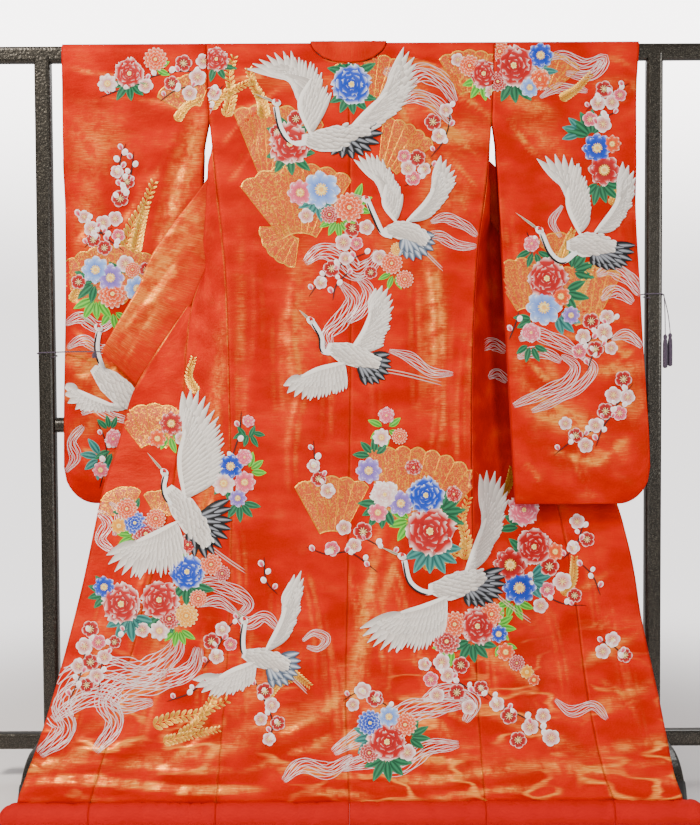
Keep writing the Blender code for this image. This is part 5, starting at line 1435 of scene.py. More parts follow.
# Where the motifs are, in pixels of the photograph. Flowers: kind, across, down, radius, hue.
flowers = {
    "robe": [
        ("peony", 352, 84, 20, "blue"), ("peony", 290, 143, 21, "red"), ("open", 321, 189, 19, "paleBlue"),
        ("mum", 349, 207, 15, "orange"), ("mum", 329, 214, 9, "red"), ("open", 300, 192, 13, "pink"),
        ("plum", 296, 118, 9, "red"), ("plum", 277, 131, 8, "red"), ("plum", 306, 215, 8, "white"),
        ("plum", 417, 158, 9, "red"), ("plum", 408, 168, 8, "white"), ("plum", 413, 178, 8, "pink"),
        ("plum", 433, 122, 9, "red"), ("plum", 439, 136, 8, "white"), ("plum", 446, 110, 7, "white"),
        ("plum", 404, 156, 7, "pink"), ("plum", 424, 169, 7, "white"),
        ("plum", 352, 228, 9, "red"), ("plum", 343, 242, 9, "white"), ("plum", 366, 227, 8, "white"),
        ("plum", 331, 268, 9, "red"), ("plum", 379, 257, 8, "white"), ("plum", 356, 243, 7, "pink"),
        ("plum", 345, 258, 7, "white"), ("plum", 320, 282, 7, "white"), ("plum", 370, 272, 7, "red"),
        ("mum", 391, 263, 11, "orange"), ("mum", 404, 279, 9, "orange"), ("mum", 397, 249, 7, "yellow"),
        ("peony", 217, 58, 12, "red"), ("peony", 484, 74, 15, "red"), ("mum", 470, 66, 11, "orange"),
        ("plum", 492, 92, 8, "white"), ("plum", 458, 60, 7, "white"),
        ("peony", 385, 415, 8, "pink"), ("open", 380, 437, 9, "white"), ("mum", 398, 436, 8, "orange"),
        ("open", 367, 470, 13, "lavender"), ("peony", 383, 494, 14, "white"), ("open", 399, 503, 13, "lavender"),
        ("peony", 424, 495, 18, "blue"), ("peony", 412, 467, 8, "red"), ("peony", 452, 494, 8, "red"),
        ("peony", 428, 531, 25, "red"), ("plum", 361, 531, 10, "red"), ("plum", 342, 527, 8, "white"),
        ("plum", 352, 545, 8, "white"), ("open", 376, 512, 10, "pink"), ("plum", 330, 548, 8, "pink"),
        ("plum", 317, 478, 8, "red"), ("plum", 326, 490, 8, "white"), ("plum", 312, 465, 7, "white"),
        ("mum", 489, 614, 12, "orange"), ("peony", 475, 626, 18, "red"), ("mum", 452, 624, 13, "orange"),
        ("mum", 444, 641, 14, "red"), ("open", 496, 634, 9, "blue"), ("plum", 439, 662, 9, "white"),
        ("plum", 458, 665, 9, "red"), ("plum", 445, 675, 8, "white"), ("plum", 428, 679, 8, "pink"),
        ("plum", 454, 692, 9, "red"), ("plum", 434, 695, 8, "white"), ("plum", 466, 707, 8, "white"),
        ("plum", 422, 664, 7, "white"), ("open", 503, 652, 9, "orange"), ("mum", 514, 663, 8, "red"),
        ("open", 524, 672, 7, "yellow"), ("open", 531, 680, 6, "orange"),
        ("peony", 522, 510, 16, "pink"), ("peony", 532, 547, 18, "red"), ("open", 508, 565, 17, "red"),
        ("open", 517, 588, 17, "blue"), ("plum", 547, 567, 10, "red"), ("plum", 560, 582, 10, "white"),
        ("plum", 545, 590, 8, "pink"), ("open", 553, 552, 9, "orange"), ("plum", 572, 596, 8, "red"),
        ("plum", 538, 606, 8, "white"),
        ("peony", 384, 741, 20, "red"), ("mum", 367, 722, 13, "blue"), ("mum", 402, 724, 12, "orange"),
        ("mum", 366, 752, 10, "red"), ("open", 386, 716, 11, "paleBlue"), ("plum", 360, 690, 9, "white"),
        ("plum", 372, 698, 9, "red"), ("plum", 404, 752, 9, "white"), ("plum", 350, 704, 7, "white"),
        ("plum", 506, 716, 9, "red"), ("plum", 527, 727, 9, "white"), ("plum", 515, 740, 9, "red"),
        ("plum", 540, 716, 8, "white"), ("plum", 548, 738, 9, "white"), ("plum", 494, 704, 8, "white"),
        ("plum", 478, 688, 8, "red"), ("plum", 262, 690, 9, "red"), ("plum", 269, 704, 8, "white"),
        ("plum", 258, 718, 7, "white"), ("plum", 275, 722, 8, "red"), ("plum", 266, 738, 7, "white"),
        ("peony", 185, 570, 18, "blue"), ("mum", 209, 563, 11, "orange"), ("mum", 220, 572, 8, "red"),
        ("peony", 119, 602, 21, "red"), ("peony", 157, 598, 19, "red"), ("open", 102, 585, 11, "blue"),
        ("mum", 184, 614, 12, "yellow"), ("mum", 167, 617, 11, "red"), ("open", 157, 629, 10, "white"),
        ("mum", 196, 597, 9, "orange"), ("plum", 140, 628, 8, "white"), ("peony", 186, 543, 9, "red"),
        ("mum", 125, 507, 11, "orange"), ("mum", 133, 521, 12, "blue"), ("mum", 144, 532, 14, "red"),
        ("mum", 154, 517, 10, "orange"), ("open", 117, 524, 8, "yellow"), ("plum", 165, 531, 7, "white"),
        ("plum", 88, 627, 9, "red"), ("plum", 82, 644, 9, "white"), ("plum", 96, 640, 8, "pink"),
        ("plum", 88, 660, 9, "red"), ("plum", 76, 664, 8, "white"), ("plum", 102, 655, 8, "white"),
        ("plum", 94, 674, 8, "white"), ("plum", 84, 683, 8, "red"), ("plum", 112, 640, 7, "red"),
        ("plum", 209, 640, 9, "red"), ("plum", 220, 628, 8, "white"), ("plum", 214, 655, 8, "white"),
        ("plum", 228, 643, 7, "pink"),
        ("open", 229, 465, 13, "blue"), ("open", 222, 482, 12, "white"), ("open", 243, 481, 11, "pink"),
        ("peony", 243, 456, 8, "pink"), ("open", 236, 497, 9, "lavender"), ("peony", 247, 420, 6, "pink"),
        ("open", 170, 422, 12, "red"), ("open", 156, 437, 9, "orange"), ("plum", 180, 437, 7, "white"),
        ("plum", 205, 106, 9, "red"), ("plum", 214, 92, 8, "white"),
        ("plum", 610, 640, 8, "white"), ("plum", 622, 656, 8, "red"), ("plum", 600, 652, 8, "white"),
        ("plum", 575, 522, 8, "white"), ("plum", 585, 540, 8, "red"), ("plum", 571, 548, 7, "white")],
    "sleeveLeft": [
        ("peony", 130, 72, 15, "red"), ("mum", 156, 58, 12, "orange"), ("plum", 184, 62, 9, "red"),
        ("plum", 198, 76, 9, "white"), ("plum", 172, 82, 8, "red"), ("plum", 190, 92, 8, "white"),
        ("plum", 204, 60, 8, "white"), ("open", 108, 82, 10, "white"), ("plum", 146, 84, 8, "white"),
        ("plum", 120, 197, 9, "red"), ("plum", 103, 221, 8, "white"), ("plum", 115, 217, 8, "white"),
        ("plum", 91, 227, 8, "white"), ("plum", 93, 238, 8, "red"), ("plum", 104, 246, 8, "red"),
        ("plum", 118, 234, 7, "pink"), ("plum", 84, 215, 7, "white"), ("plum", 127, 180, 8, "red"),
        ("plum", 117, 170, 7, "white"),
        ("open", 95, 268, 14, "paleBlue"), ("open", 110, 276, 14, "lavender"), ("mum", 112, 292, 15, "orange"),
        ("open", 137, 287, 13, "paleBlue"), ("plum", 125, 262, 9, "white"), ("plum", 146, 268, 8, "red"),
        ("plum", 78, 280, 8, "red"), ("mum", 132, 268, 8, "orange"),
        ("plum", 166, 380, 8, "red"), ("plum", 178, 374, 7, "white"), ("plum", 172, 392, 7, "white"),
        ("peony", 112, 437, 9, "pink"), ("open", 99, 468, 8, "pink")],
    "sleeveRight": [
        ("peony", 514, 66, 21, "red"), ("mum", 500, 52, 11, "orange"), ("open", 541, 56, 13, "blue"),
        ("peony", 540, 80, 11, "orange"), ("mum", 498, 82, 10, "red"), ("open", 530, 88, 10, "paleBlue"),
        ("open", 597, 149, 15, "blue"), ("open", 604, 171, 16, "red"), ("plum", 603, 125, 9, "white"),
        ("open", 612, 145, 9, "orange"), ("plum", 590, 120, 8, "pink"), ("plum", 604, 90, 9, "red"),
        ("plum", 612, 103, 8, "white"), ("plum", 598, 104, 8, "white"), ("plum", 620, 96, 7, "pink"),
        ("peony", 546, 279, 20, "red"), ("open", 543, 308, 18, "paleBlue"), ("peony", 530, 333, 10, "pink"),
        ("open", 560, 297, 10, "orange"), ("peony", 531, 244, 8, "pink"), ("open", 570, 316, 9, "lavender"),
        ("plum", 590, 322, 9, "red"), ("plum", 603, 333, 9, "white"), ("plum", 582, 337, 8, "white"),
        ("plum", 594, 350, 9, "red"), ("plum", 606, 318, 8, "white"), ("plum", 578, 352, 8, "pink"),
        ("plum", 610, 349, 7, "white"), ("plum", 622, 380, 9, "red"), ("plum", 612, 396, 9, "white"),
        ("plum", 626, 398, 8, "white"), ("plum", 604, 412, 9, "red"), ("plum", 618, 414, 8, "pink"),
        ("plum", 594, 426, 8, "white"), ("plum", 574, 436, 8, "red"), ("plum", 584, 446, 8, "white"),
        ("plum", 564, 424, 7, "white")]}

# Leaves: across, down, length, first angle, last angle, how many, tone
foliage = {
    "robe": [
        (352, 74, 24, 20, 160, 6, "dark"), (352, 92, 23, 200, 340, 5, "dark"), (290, 150, 25, 190, 350, 5, "dark"),
        (290, 138, 24, 30, 150, 4, "dark"), (320, 196, 25, 170, 300, 5, "teal"), (338, 218, 18, 200, 340, 5, "bright"),
        (352, 204, 20, -30, 60, 3, "bright"), (484, 80, 22, 190, 350, 5, "bright"), (217, 62, 18, 200, 340, 4, "dark"),
        (384, 428, 18, 150, 390, 5, "bright"), (372, 456, 20, 40, 170, 4, "dark"), (382, 505, 24, 170, 290, 5, "dark"),
        (436, 512, 27, -60, 60, 5, "dark"), (430, 546, 29, 200, 350, 6, "teal"), (410, 520, 24, 150, 230, 3, "bright"),
        (470, 640, 24, 200, 340, 5, "dark"), (492, 626, 20, -50, 60, 4, "bright"), (450, 646, 20, 180, 260, 3, "bright"),
        (500, 642, 15, 240, 330, 4, "bright"), (520, 528, 22, 60, 180, 4, "dark"), (524, 556, 23, 130, 230, 4, "dark"),
        (526, 580, 24, -60, 40, 4, "teal"), (512, 600, 20, 200, 330, 4, "bright"), (384, 756, 25, 200, 340, 5, "dark"),
        (372, 736, 22, 120, 220, 4, "teal"), (404, 736, 20, -40, 50, 4, "dark"), (186, 582, 24, 220, 340, 4, "dark"),
        (128, 614, 27, 200, 340, 5, "teal"), (160, 612, 25, 220, 330, 4, "dark"), (106, 592, 20, 120, 220, 4, "dark"),
        (178, 560, 19, 60, 160, 4, "bright"), (176, 626, 18, 220, 320, 4, "bright"), (134, 534, 18, 170, 300, 5, "bright"),
        (150, 536, 17, 230, 350, 4, "dark"), (130, 512, 16, 60, 170, 3, "dark"), (228, 476, 21, 150, 260, 4, "dark"),
        (238, 500, 19, 230, 340, 4, "dark"), (246, 470, 19, -10, 70, 3, "bright"), (248, 430, 15, 200, 340, 4, "dark"),
        (168, 432, 18, 190, 330, 4, "bright"), (394, 272, 15, 200, 330, 4, "bright"), (246, 440, 15, 60, 120, 2, "dark")],
    "sleeveLeft": [
        (130, 80, 20, 190, 350, 5, "dark"), (154, 66, 17, -30, 60, 3, "bright"), (96, 280, 22, 150, 250, 4, "dark"),
        (138, 296, 22, -70, 20, 4, "dark"), (96, 296, 22, 200, 300, 4, "bright"), (124, 276, 19, 60, 130, 3, "dark"),
        (112, 448, 19, 200, 330, 4, "dark"), (100, 456, 21, 120, 300, 5, "teal"), (108, 430, 15, 60, 130, 3, "dark"),
        (112, 308, 19, 230, 320, 3, "bright")],
    "sleeveRight": [
        (514, 80, 25, 200, 340, 5, "dark"), (536, 70, 20, -50, 30, 3, "teal"), (500, 60, 17, 110, 190, 3, "bright"),
        (592, 138, 26, 60, 160, 5, "dark"), (600, 182, 22, 220, 340, 5, "dark"), (584, 134, 21, 130, 190, 3, "teal"),
        (534, 250, 17, 200, 330, 4, "dark"), (570, 272, 25, -20, 80, 4, "dark"), (562, 292, 25, -60, 20, 3, "dark"),
        (556, 314, 23, -80, 0, 4, "teal"), (534, 320, 20, 170, 260, 4, "dark"), (530, 344, 17, 210, 330, 4, "dark")]}

# Twigs, each a line of (across, down), with how many white buds sit beside it
twigs = {
    "robe": [
        ([(304, 546), (326, 554), (348, 552), (376, 572)], 7), ([(356, 534), (378, 546), (400, 556)], 4),
        ([(430, 158), (444, 140), (450, 118), (448, 98)], 6), ([(404, 186), (420, 178), (436, 160)], 4),
        ([(308, 296), (322, 278), (344, 262), (372, 250)], 8), ([(332, 300), (336, 284), (352, 268)], 4),
        ([(312, 440), (314, 462), (324, 484), (330, 500)], 6), ([(262, 556), (264, 580), (276, 594)], 4),
        ([(420, 660), (440, 672), (462, 686), (486, 700)], 8), ([(474, 684), (500, 706), (528, 722), (552, 742)], 9),
        ([(510, 560), (536, 590), (560, 604), (584, 606)], 7), ([(560, 560), (574, 546), (582, 522)], 6),
        ([(574, 560), (590, 576), (598, 596)], 4), ([(250, 676), (262, 700), (270, 724), (262, 746)], 8),
        ([(66, 700), (78, 672), (84, 644), (92, 622)], 9), ([(96, 690), (100, 660), (114, 636), (132, 624)], 7),
        ([(200, 668), (214, 648), (226, 626), (244, 612)], 7), ([(164, 700), (190, 690), (206, 672)], 4),
        ([(240, 410), (238, 432), (232, 452), (228, 470)], 3), ([(594, 640), (612, 648), (626, 664)], 5),
        ([(340, 700), (356, 692), (376, 700), (392, 712)], 6), ([(204, 118), (212, 98), (224, 84)], 5)],
    "sleeveLeft": [
        ([(126, 142), (120, 160), (122, 180), (118, 202)], 9), ([(134, 150), (130, 176), (120, 200)], 6),
        ([(76, 210), (92, 222), (106, 236), (124, 250)], 9), ([(84, 246), (96, 234), (112, 226)], 5),
        ([(100, 96), (126, 86), (150, 76), (178, 70), (206, 72)], 8), ([(160, 100), (178, 88), (200, 84)], 4),
        ([(160, 400), (168, 384), (176, 372), (184, 361)], 6), ([(96, 420), (104, 440), (104, 462), (98, 486)], 4)],
    "sleeveRight": [
        ([(586, 112), (600, 100), (616, 92), (630, 84)], 7), ([(594, 128), (606, 118), (618, 112)], 4),
        ([(572, 360), (586, 344), (600, 330), (618, 316)], 8), ([(586, 372), (594, 352), (612, 338)], 5),
        ([(552, 456), (570, 442), (592, 430), (612, 410), (632, 384)], 11), ([(594, 448), (604, 424), (626, 402)], 6),
        ([(528, 262), (532, 248), (526, 232)], 2), ([(508, 340), (514, 326), (518, 312)], 2)]}

# Gold sprays: line of (across, down), leaf length
sprays = {
    "robe": [([(265, 118), (262, 100), (254, 84), (250, 70)], 9), ([(210, 108), (220, 96), (236, 88), (252, 80)], 8),
             ([(226, 116), (232, 94), (230, 74), (234, 58)], 9), ([(462, 560), (464, 540), (460, 520), (466, 500)], 9),
             ([(420, 566), (436, 562), (452, 554), (466, 540)], 8), ([(466, 570), (478, 556), (484, 538)], 8),
             ([(150, 724), (172, 716), (196, 712), (222, 700)], 10), ([(160, 740), (186, 734), (214, 728)], 8),
             ([(176, 736), (196, 720), (214, 690)], 9), ([(560, 596), (570, 580), (572, 560)], 8),
             ([(272, 666), (290, 672), (306, 684)], 7), ([(196, 392), (188, 376), (192, 358)], 7),
             ([(262, 700), (276, 684), (292, 678)], 6), ([(496, 500), (506, 486), (510, 470)], 7)],
    "sleeveLeft": [([(124, 246), (132, 224), (144, 204), (153, 183)], 10), ([(134, 252), (140, 226), (146, 204)], 9),
                   ([(176, 120), (186, 106), (200, 98)], 7), ([(70, 300), (78, 286), (84, 268)], 7),
                   ([(180, 388), (186, 372), (192, 356)], 8)],
    "sleeveRight": [([(572, 306), (582, 288), (590, 268)], 8), ([(560, 262), (566, 246), (572, 232)], 7),
                    ([(560, 100), (576, 90), (590, 76)], 7), ([(610, 206), (618, 190), (622, 172)], 6)]}

# Streams and pools: line of (across, down), width, how many threads
streams = {
    "robe": [
        ([(384, 70), (404, 78), (424, 72), (444, 84), (456, 102)], 20, 9), ([(398, 104), (418, 96), (436, 104), (452, 124)], 16, 8),
        ([(430, 222), (448, 218), (464, 226), (477, 236)], 12, 7), ([(422, 238), (440, 236), (458, 246), (476, 246)], 12, 7),
        ([(304, 262), (322, 250), (340, 256), (356, 272), (372, 262), (378, 250)], 22, 10),
        ([(340, 282), (352, 300), (340, 320), (326, 334), (330, 350)], 18, 8), ([(356, 276), (368, 292), (360, 310), (346, 322)], 14, 7),
        ([(388, 350), (410, 358), (430, 372), (452, 374)], 12, 6), ([(300, 640), (312, 632), (324, 638), (316, 648), (304, 646)], 9, 5),
        ([(330, 752), (352, 738), (380, 728), (408, 712), (436, 706), (468, 700)], 26, 11),
        ([(338, 768), (368, 760), (396, 764), (424, 748), (456, 744)], 22, 10), ([(420, 700), (446, 690), (470, 702), (462, 722)], 18, 8),
        ([(94, 508), (106, 522), (98, 538), (112, 550)], 13, 7), ([(108, 500), (118, 514), (112, 534)], 10, 6),
        ([(190, 588), (206, 582), (226, 588), (246, 602), (238, 614)], 16, 8), ([(196, 604), (216, 600), (234, 612)], 12, 6),
        ([(36, 752), (62, 728), (54, 704), (70, 680), (104, 668), (140, 672), (170, 652), (176, 636)], 34, 13),
        ([(92, 750), (112, 722), (104, 700), (122, 684), (156, 680), (188, 668), (196, 646)], 26, 11),
        ([(50, 718), (76, 700), (100, 694), (122, 704), (150, 700)], 20, 9), ([(480, 350), (492, 344), (505, 352)], 14, 7),
        ([(487, 378), (496, 374), (506, 382)], 12, 6), ([(280, 780), (300, 764), (326, 770), (350, 756)], 18, 8),
        ([(552, 700), (568, 712), (590, 706), (604, 720)], 12, 6), ([(232, 610), (244, 622), (262, 616), (276, 628)], 14, 7)],
    "sleeveLeft": [
        ([(64, 322), (82, 316), (98, 326), (114, 318)], 14, 7), ([(66, 346), (84, 338), (100, 348), (112, 342)], 12, 7),
        ([(80, 412), (96, 406), (110, 414), (128, 420)], 12, 6), ([(64, 470), (74, 456), (70, 440), (82, 424)], 12, 6)],
    "sleeveRight": [
        ([(596, 276), (612, 270), (628, 280), (640, 296)], 16, 8), ([(600, 300), (616, 292), (632, 304)], 14, 7),
        ([(518, 340), (536, 334), (556, 342), (580, 356)], 16, 8), ([(516, 358), (538, 352), (560, 362)], 13, 7),
        ([(560, 356), (574, 368), (564, 384), (540, 394), (512, 406)], 14, 7),
        ([(578, 356), (592, 368), (580, 386), (556, 400), (530, 412)], 12, 6), ([(610, 340), (626, 336), (641, 348)], 12, 6),
        ([(546, 60), (564, 56), (584, 66), (604, 60), (592, 76), (566, 74)], 14, 7), ([(540, 98), (562, 88), (588, 92)], 10, 6),
        ([(562, 206), (552, 222), (560, 238)], 8, 5)]}

# Fans: pivot, inner and outer radius, first and last angle, blades
fans = {
    "robe": [((300, 262), 30, 96, 58, 128, 7), ((268, 196), 26, 90, 52, 112, 6), ((372, 118), 22, 62, 60, 130, 6),
             ((376, 190), 26, 72, 38, 84, 5), ((400, 566), 44, 116, 48, 108, 8), ((330, 556), 26, 78, 62, 118, 5),
             ((152, 462), 20, 58, 50, 128, 5), ((124, 516), 12, 30, 60, 170, 4), ((156, 518), 10, 28, 20, 120, 4),
             ((300, 226), 12, 40, 180, 262, 5), ((470, 112), 20, 60, 60, 120, 5)],
    "sleeveLeft": [((112, 320), 22, 74, 56, 142, 8), ((196, 118), 14, 44, 70, 150, 4)],
    "sleeveRight": [((528, 330), 22, 70, 60, 122, 6), ((584, 344), 20, 76, 62, 118, 6), ((558, 262), 8, 28, 30, 140, 5),
                    ((544, 100), 14, 46, 40, 110, 5)]}

cranes = {
    "robe": [
        {"wings": [([(312, 136), (300, 104), (312, 78)], [(246, 65), (262, 56), (276, 51), (294, 50), (308, 54), (322, 66), (334, 92)], 17),
                   ([(342, 138), (366, 112), (388, 92)], [(406, 48), (417, 60), (419, 82), (416, 92), (411, 101), (404, 111), (384, 126)], 17)],
         "body": [(302, 138, 4), (316, 140, 11), (336, 138, 13), (356, 132, 8), (370, 130, 3)],
         "tailRoot": (344, 136), "tail": [(322, 152), (350, 158), (370, 150), (382, 136), (380, 120)],
         "neck": [(306, 142), (292, 142), (281, 128), (276, 106)], "head": (277, 102), "beak": (255, 93), "throat": 1},
        {"wings": [([(396, 222), (384, 204), (386, 184)], [(355, 158), (364, 152), (377, 154), (388, 162), (396, 174), (404, 192)], 14),
                   ([(406, 222), (424, 204), (434, 188)], [(442, 156), (451, 164), (457, 176), (455, 190), (446, 204), (434, 216)], 14)],
         "body": [(384, 232, 4), (396, 230, 9), (410, 232, 9), (424, 240, 3)], "legs": [(414, 240), (428, 254), (442, 268)],
         "tailRoot": (404, 234), "tail": [(400, 256), (418, 260), (434, 248), (434, 234)], "tone": "grey", "plumes": 8,
         "neck": [(392, 236), (382, 232), (374, 216), (368, 202)], "head": (366, 199), "beak": (352, 193), "throat": 1},
        {"wings": [([(346, 356), (362, 332), (370, 312)], [(376, 288), (386, 286), (392, 296), (394, 312), (392, 328), (384, 346)], 14),
                   ([(344, 362), (318, 368), (300, 376)], [(282, 384), (286, 392), (300, 398), (316, 400), (330, 398), (344, 390)], 13)],
         "body": [(326, 346, 4), (342, 352, 11), (360, 358, 10), (376, 364, 3)], "legs": [(368, 366), (402, 372), (440, 382)],
         "tailRoot": (356, 360), "tail": [(366, 384), (382, 380), (390, 366), (388, 352)], "plumes": 8,
         "neck": [(334, 352), (322, 350), (320, 336), (312, 322)], "head": (310, 320), "beak": (298, 309), "throat": 1},
        {"wings": [([(184, 500), (178, 460), (184, 428)], [(183, 390), (195, 388), (206, 396), (217, 414), (225, 428), (227, 450), (222, 476)], 17),
                   ([(176, 520), (152, 532), (134, 540)], [(104, 552), (108, 566), (127, 575), (150, 578), (168, 574), (184, 562)], 15)],
         "body": [(166, 486, 5), (178, 502, 13), (192, 522, 13), (206, 544, 4)], "legs": [(206, 542), (224, 556), (243, 569)],
         "tailRoot": (188, 520), "tail": [(186, 552), (206, 556), (224, 540), (230, 516), (226, 496)], "plumes": 10,
         "neck": [(176, 504), (166, 498), (162, 486), (164, 474)], "head": (163, 471), "beak": (146, 451), "throat": 1},
        {"wings": [([(262, 652), (276, 626), (284, 606)], [(284, 588), (294, 574), (302, 572), (303, 590), (300, 612), (290, 634)], 14),
                   ([(254, 660), (232, 668), (216, 676)], [(190, 677), (195, 688), (214, 696), (232, 694), (248, 684)], 13)],
         "body": [(240, 652, 4), (254, 656, 10), (270, 660, 9), (284, 664, 3)], "legs": [(278, 668), (292, 678), (304, 690)],
         "tailRoot": (264, 662), "tail": [(272, 686), (288, 682), (298, 666), (296, 650)], "tone": "grey", "plumes": 8,
         "neck": [(252, 656), (242, 652), (240, 638), (242, 622)], "head": (242, 619), "beak": (232, 608), "throat": 1},
        {"wings": [([(462, 576), (474, 544), (484, 518)], [(480, 474), (492, 470), (503, 480), (508, 495), (508, 512), (500, 536), (488, 556)], 16),
                   ([(446, 596), (420, 606), (398, 612)], [(357, 626), (362, 639), (376, 648), (395, 652), (409, 654), (424, 650), (440, 634)], 16)],
         "body": [(426, 588, 4), (444, 588, 13), (464, 582, 12), (482, 576, 4)], "legs": [(480, 582), (504, 602), (528, 620)],
         "tailRoot": (462, 584), "tail": [(468, 606), (488, 604), (502, 588), (502, 566)], "plumes": 9,
         "neck": [(440, 586), (424, 592), (408, 582), (402, 560)], "head": (400, 556), "beak": (378, 546), "throat": 1}],
    "sleeveLeft": [
        {"wings": [([(112, 404), (92, 396), (76, 388)], [(62, 382), (64, 396), (72, 406), (88, 410), (106, 412), (128, 408)], 12)],
         "neck": [(104, 372), (98, 356), (96, 344), (98, 330)], "head": (98, 326), "beak": (74, 310), "throat": 1,
         "body": [(92, 366, 4), (106, 378, 12), (122, 392, 13), (138, 404, 8)]}],
    "sleeveRight": [
        {"wings": [([(580, 236), (568, 208), (568, 188)], [(538, 158), (550, 155), (565, 155), (579, 163), (588, 176), (592, 196), (592, 216)], 15),
                   ([(594, 234), (610, 214), (620, 198)], [(624, 163), (634, 171), (637, 184), (636, 198), (630, 214), (618, 230)], 14)],
         "body": [(566, 246, 4), (580, 246, 12), (596, 246, 11), (612, 248, 3)], "legs": [(608, 256), (624, 270), (640, 286)],
         "tailRoot": (592, 250), "tail": [(594, 266), (612, 270), (630, 262), (634, 244)], "plumes": 9,
         "neck": [(576, 252), (562, 262), (550, 254), (541, 234)], "head": (539, 231), "beak": (515, 213), "throat": 1}],
    # hidden from the photograph: the sleeves' other faces carry a crane each
    "sleeveLeftRear": [
        {"wings": [([(126, 236), (116, 208), (116, 188)], [(84, 158), (96, 155), (112, 155), (126, 163), (135, 176), (139, 196), (138, 216)], 15),
                   ([(140, 234), (156, 214), (166, 198)], [(171, 163), (181, 171), (184, 184), (182, 198), (176, 214), (164, 230)], 14)],
         "body": [(112, 246, 4), (126, 246, 12), (142, 246, 11), (158, 248, 3)], "legs": [(154, 256), (170, 270), (186, 286)],
         "tailRoot": (138, 250), "tail": [(140, 266), (158, 270), (176, 262), (180, 244)], "plumes": 9,
         "neck": [(122, 252), (108, 262), (96, 254), (87, 234)], "head": (85, 231), "beak": (66, 218), "throat": 1}],
    "sleeveRightRear": [
        {"wings": [([(568, 366), (584, 342), (592, 322)], [(598, 298), (608, 296), (614, 306), (616, 322), (614, 338), (606, 356)], 14),
                   ([(566, 372), (540, 378), (530, 384)], [(516, 394), (522, 402), (532, 408), (542, 410), (554, 408), (566, 400)], 13)],
         "body": [(548, 356, 4), (564, 362, 11), (582, 368, 10), (598, 374, 3)], "legs": [(590, 376), (608, 382), (626, 392)],
         "tailRoot": (578, 370), "tail": [(588, 394), (604, 390), (612, 376), (610, 362)], "plumes": 8,
         "neck": [(556, 362), (544, 360), (542, 346), (534, 332)], "head": (532, 330), "beak": (520, 319), "throat": 1}]}
rearGroups = {
    "sleeveLeftRear": {
        "flowers": [("peony", 100, 400, 20, "red"), ("open", 128, 418, 17, "blue"), ("mum", 84, 426, 14, "orange"),
                    ("plum", 150, 396, 9, "white"), ("plum", 160, 410, 9, "red"), ("plum", 112, 440, 9, "white"),
                    ("plum", 150, 108, 9, "red"), ("plum", 132, 98, 9, "white"), ("plum", 168, 96, 8, "white")],
        "leaves": [(100, 412, 25, 190, 330, 5, "dark"), (128, 430, 22, 230, 360, 4, "teal"), (92, 392, 22, 90, 180, 3, "bright")],
        "streams": [([(74, 340), (100, 326), (130, 338), (160, 326), (186, 336)], 22, 9),
                    ([(80, 460), (104, 450), (130, 460), (160, 448)], 18, 8)],
        "sprays": [([(172, 440), (168, 410), (176, 380)], 9)], "twigs": [([(118, 116), (144, 102), (172, 98), (190, 84)], 8)],
        "fans": [((120, 470), 24, 78, 56, 128, 6)]},
    "sleeveRightRear": {
        "flowers": [("peony", 560, 200, 21, "red"), ("open", 586, 216, 17, "paleBlue"), ("mum", 540, 220, 14, "orange"),
                    ("plum", 606, 196, 9, "white"), ("plum", 616, 210, 9, "red"), ("plum", 552, 236, 8, "white"),
                    ("plum", 580, 112, 9, "red"), ("plum", 562, 100, 9, "white"), ("plum", 600, 98, 8, "white")],
        "leaves": [(560, 212, 25, 190, 330, 5, "dark"), (586, 228, 22, 230, 360, 4, "teal"), (550, 192, 22, 90, 180, 3, "bright")],
        "streams": [([(530, 270), (556, 258), (584, 268), (612, 258), (630, 268)], 22, 9),
                    ([(540, 440), (566, 430), (592, 440), (620, 430)], 20, 9)],
        "sprays": [([(620, 246), (616, 222), (624, 196)], 9)], "twigs": [([(548, 118), (574, 104), (602, 100), (622, 86)], 8)],
        "fans": [((576, 270), 24, 78, 56, 128, 6)]}}

flowerKinds = {"peony": peony, "mum": mum, "open": openFlower, "plum": plum}


def layGroup(place, flowerList, leafList, twigList, sprayList, streamList, fanList, craneList):
    for pivot, near, far, low, high, blades in fanList:
        fan(place + "Ground", *pivot, near, far, low, high, blades)
    for line, width, count in streamList:
        water(place + "Ground", line, width, count)
    for line, size in sprayList:
        spray(place + "Ground", line, size)
    for line, buds in twigList:
        twig(place, line)
        at = smoothLine(line, buds + 2)[1:-1]
        for k, (u, v) in enumerate(at):
            bud(place, u + (3.2 if k % 2 else -3.2), v - 2.4, chance.uniform(2.8, 3.8),
                "pearl" if k % 3 else "pink", 90 + 30 * (-1)**k)
    for u, v, size, first, last, count, tone in leafList:
        leaves(place, u, v, size, np.linspace(first, last, count), tone, start=4.0)
    for kind, u, v, size, hue in flowerList:
        flowerKinds[kind](place, u, v, size, hue)
    for parts in craneList:
        crane(place + "Cranes", parts)


for place in ("robe", "sleeveLeft", "sleeveRight"):
    layGroup(place, flowers[place], foliage[place], twigs[place], sprays[place], streams[place], fans[place],
             cranes[place])
for place, group in rearGroups.items():
    layGroup(place, group["flowers"], group["leaves"], group["twigs"], group["sprays"], group["streams"],
             group["fans"], cranes[place])


def silkFloss(name, roughness, metallic, fine=1.0):
    # floss lies in rows about 0.4 mm apart; drawn as ridges of 1 mm, so that they hold at this distance
    made, tree, shader = newMaterial(name)
    tree.links.new(addNode(tree, "Attribute", {"attribute_name": "dye"}).outputs["Color"], shader.inputs["Base Color"])
    comb = addNode(tree, "UVMap", {"uv_map": "comb"}).outputs[0]
    rows = stretchedNoise(tree, comb, (60, 1000 * fine, 1), 2.0)
    shader.inputs["Roughness"].default_value = roughness
    shader.inputs["Metallic"].default_value = metallic
    shader.inputs["Anisotropic"].default_value = 0.4
    shader.inputs["Specular IOR Level"].default_value = 0.26
    bumpFrom(tree, shader, rows, 0.0012, 0.8)
    return made


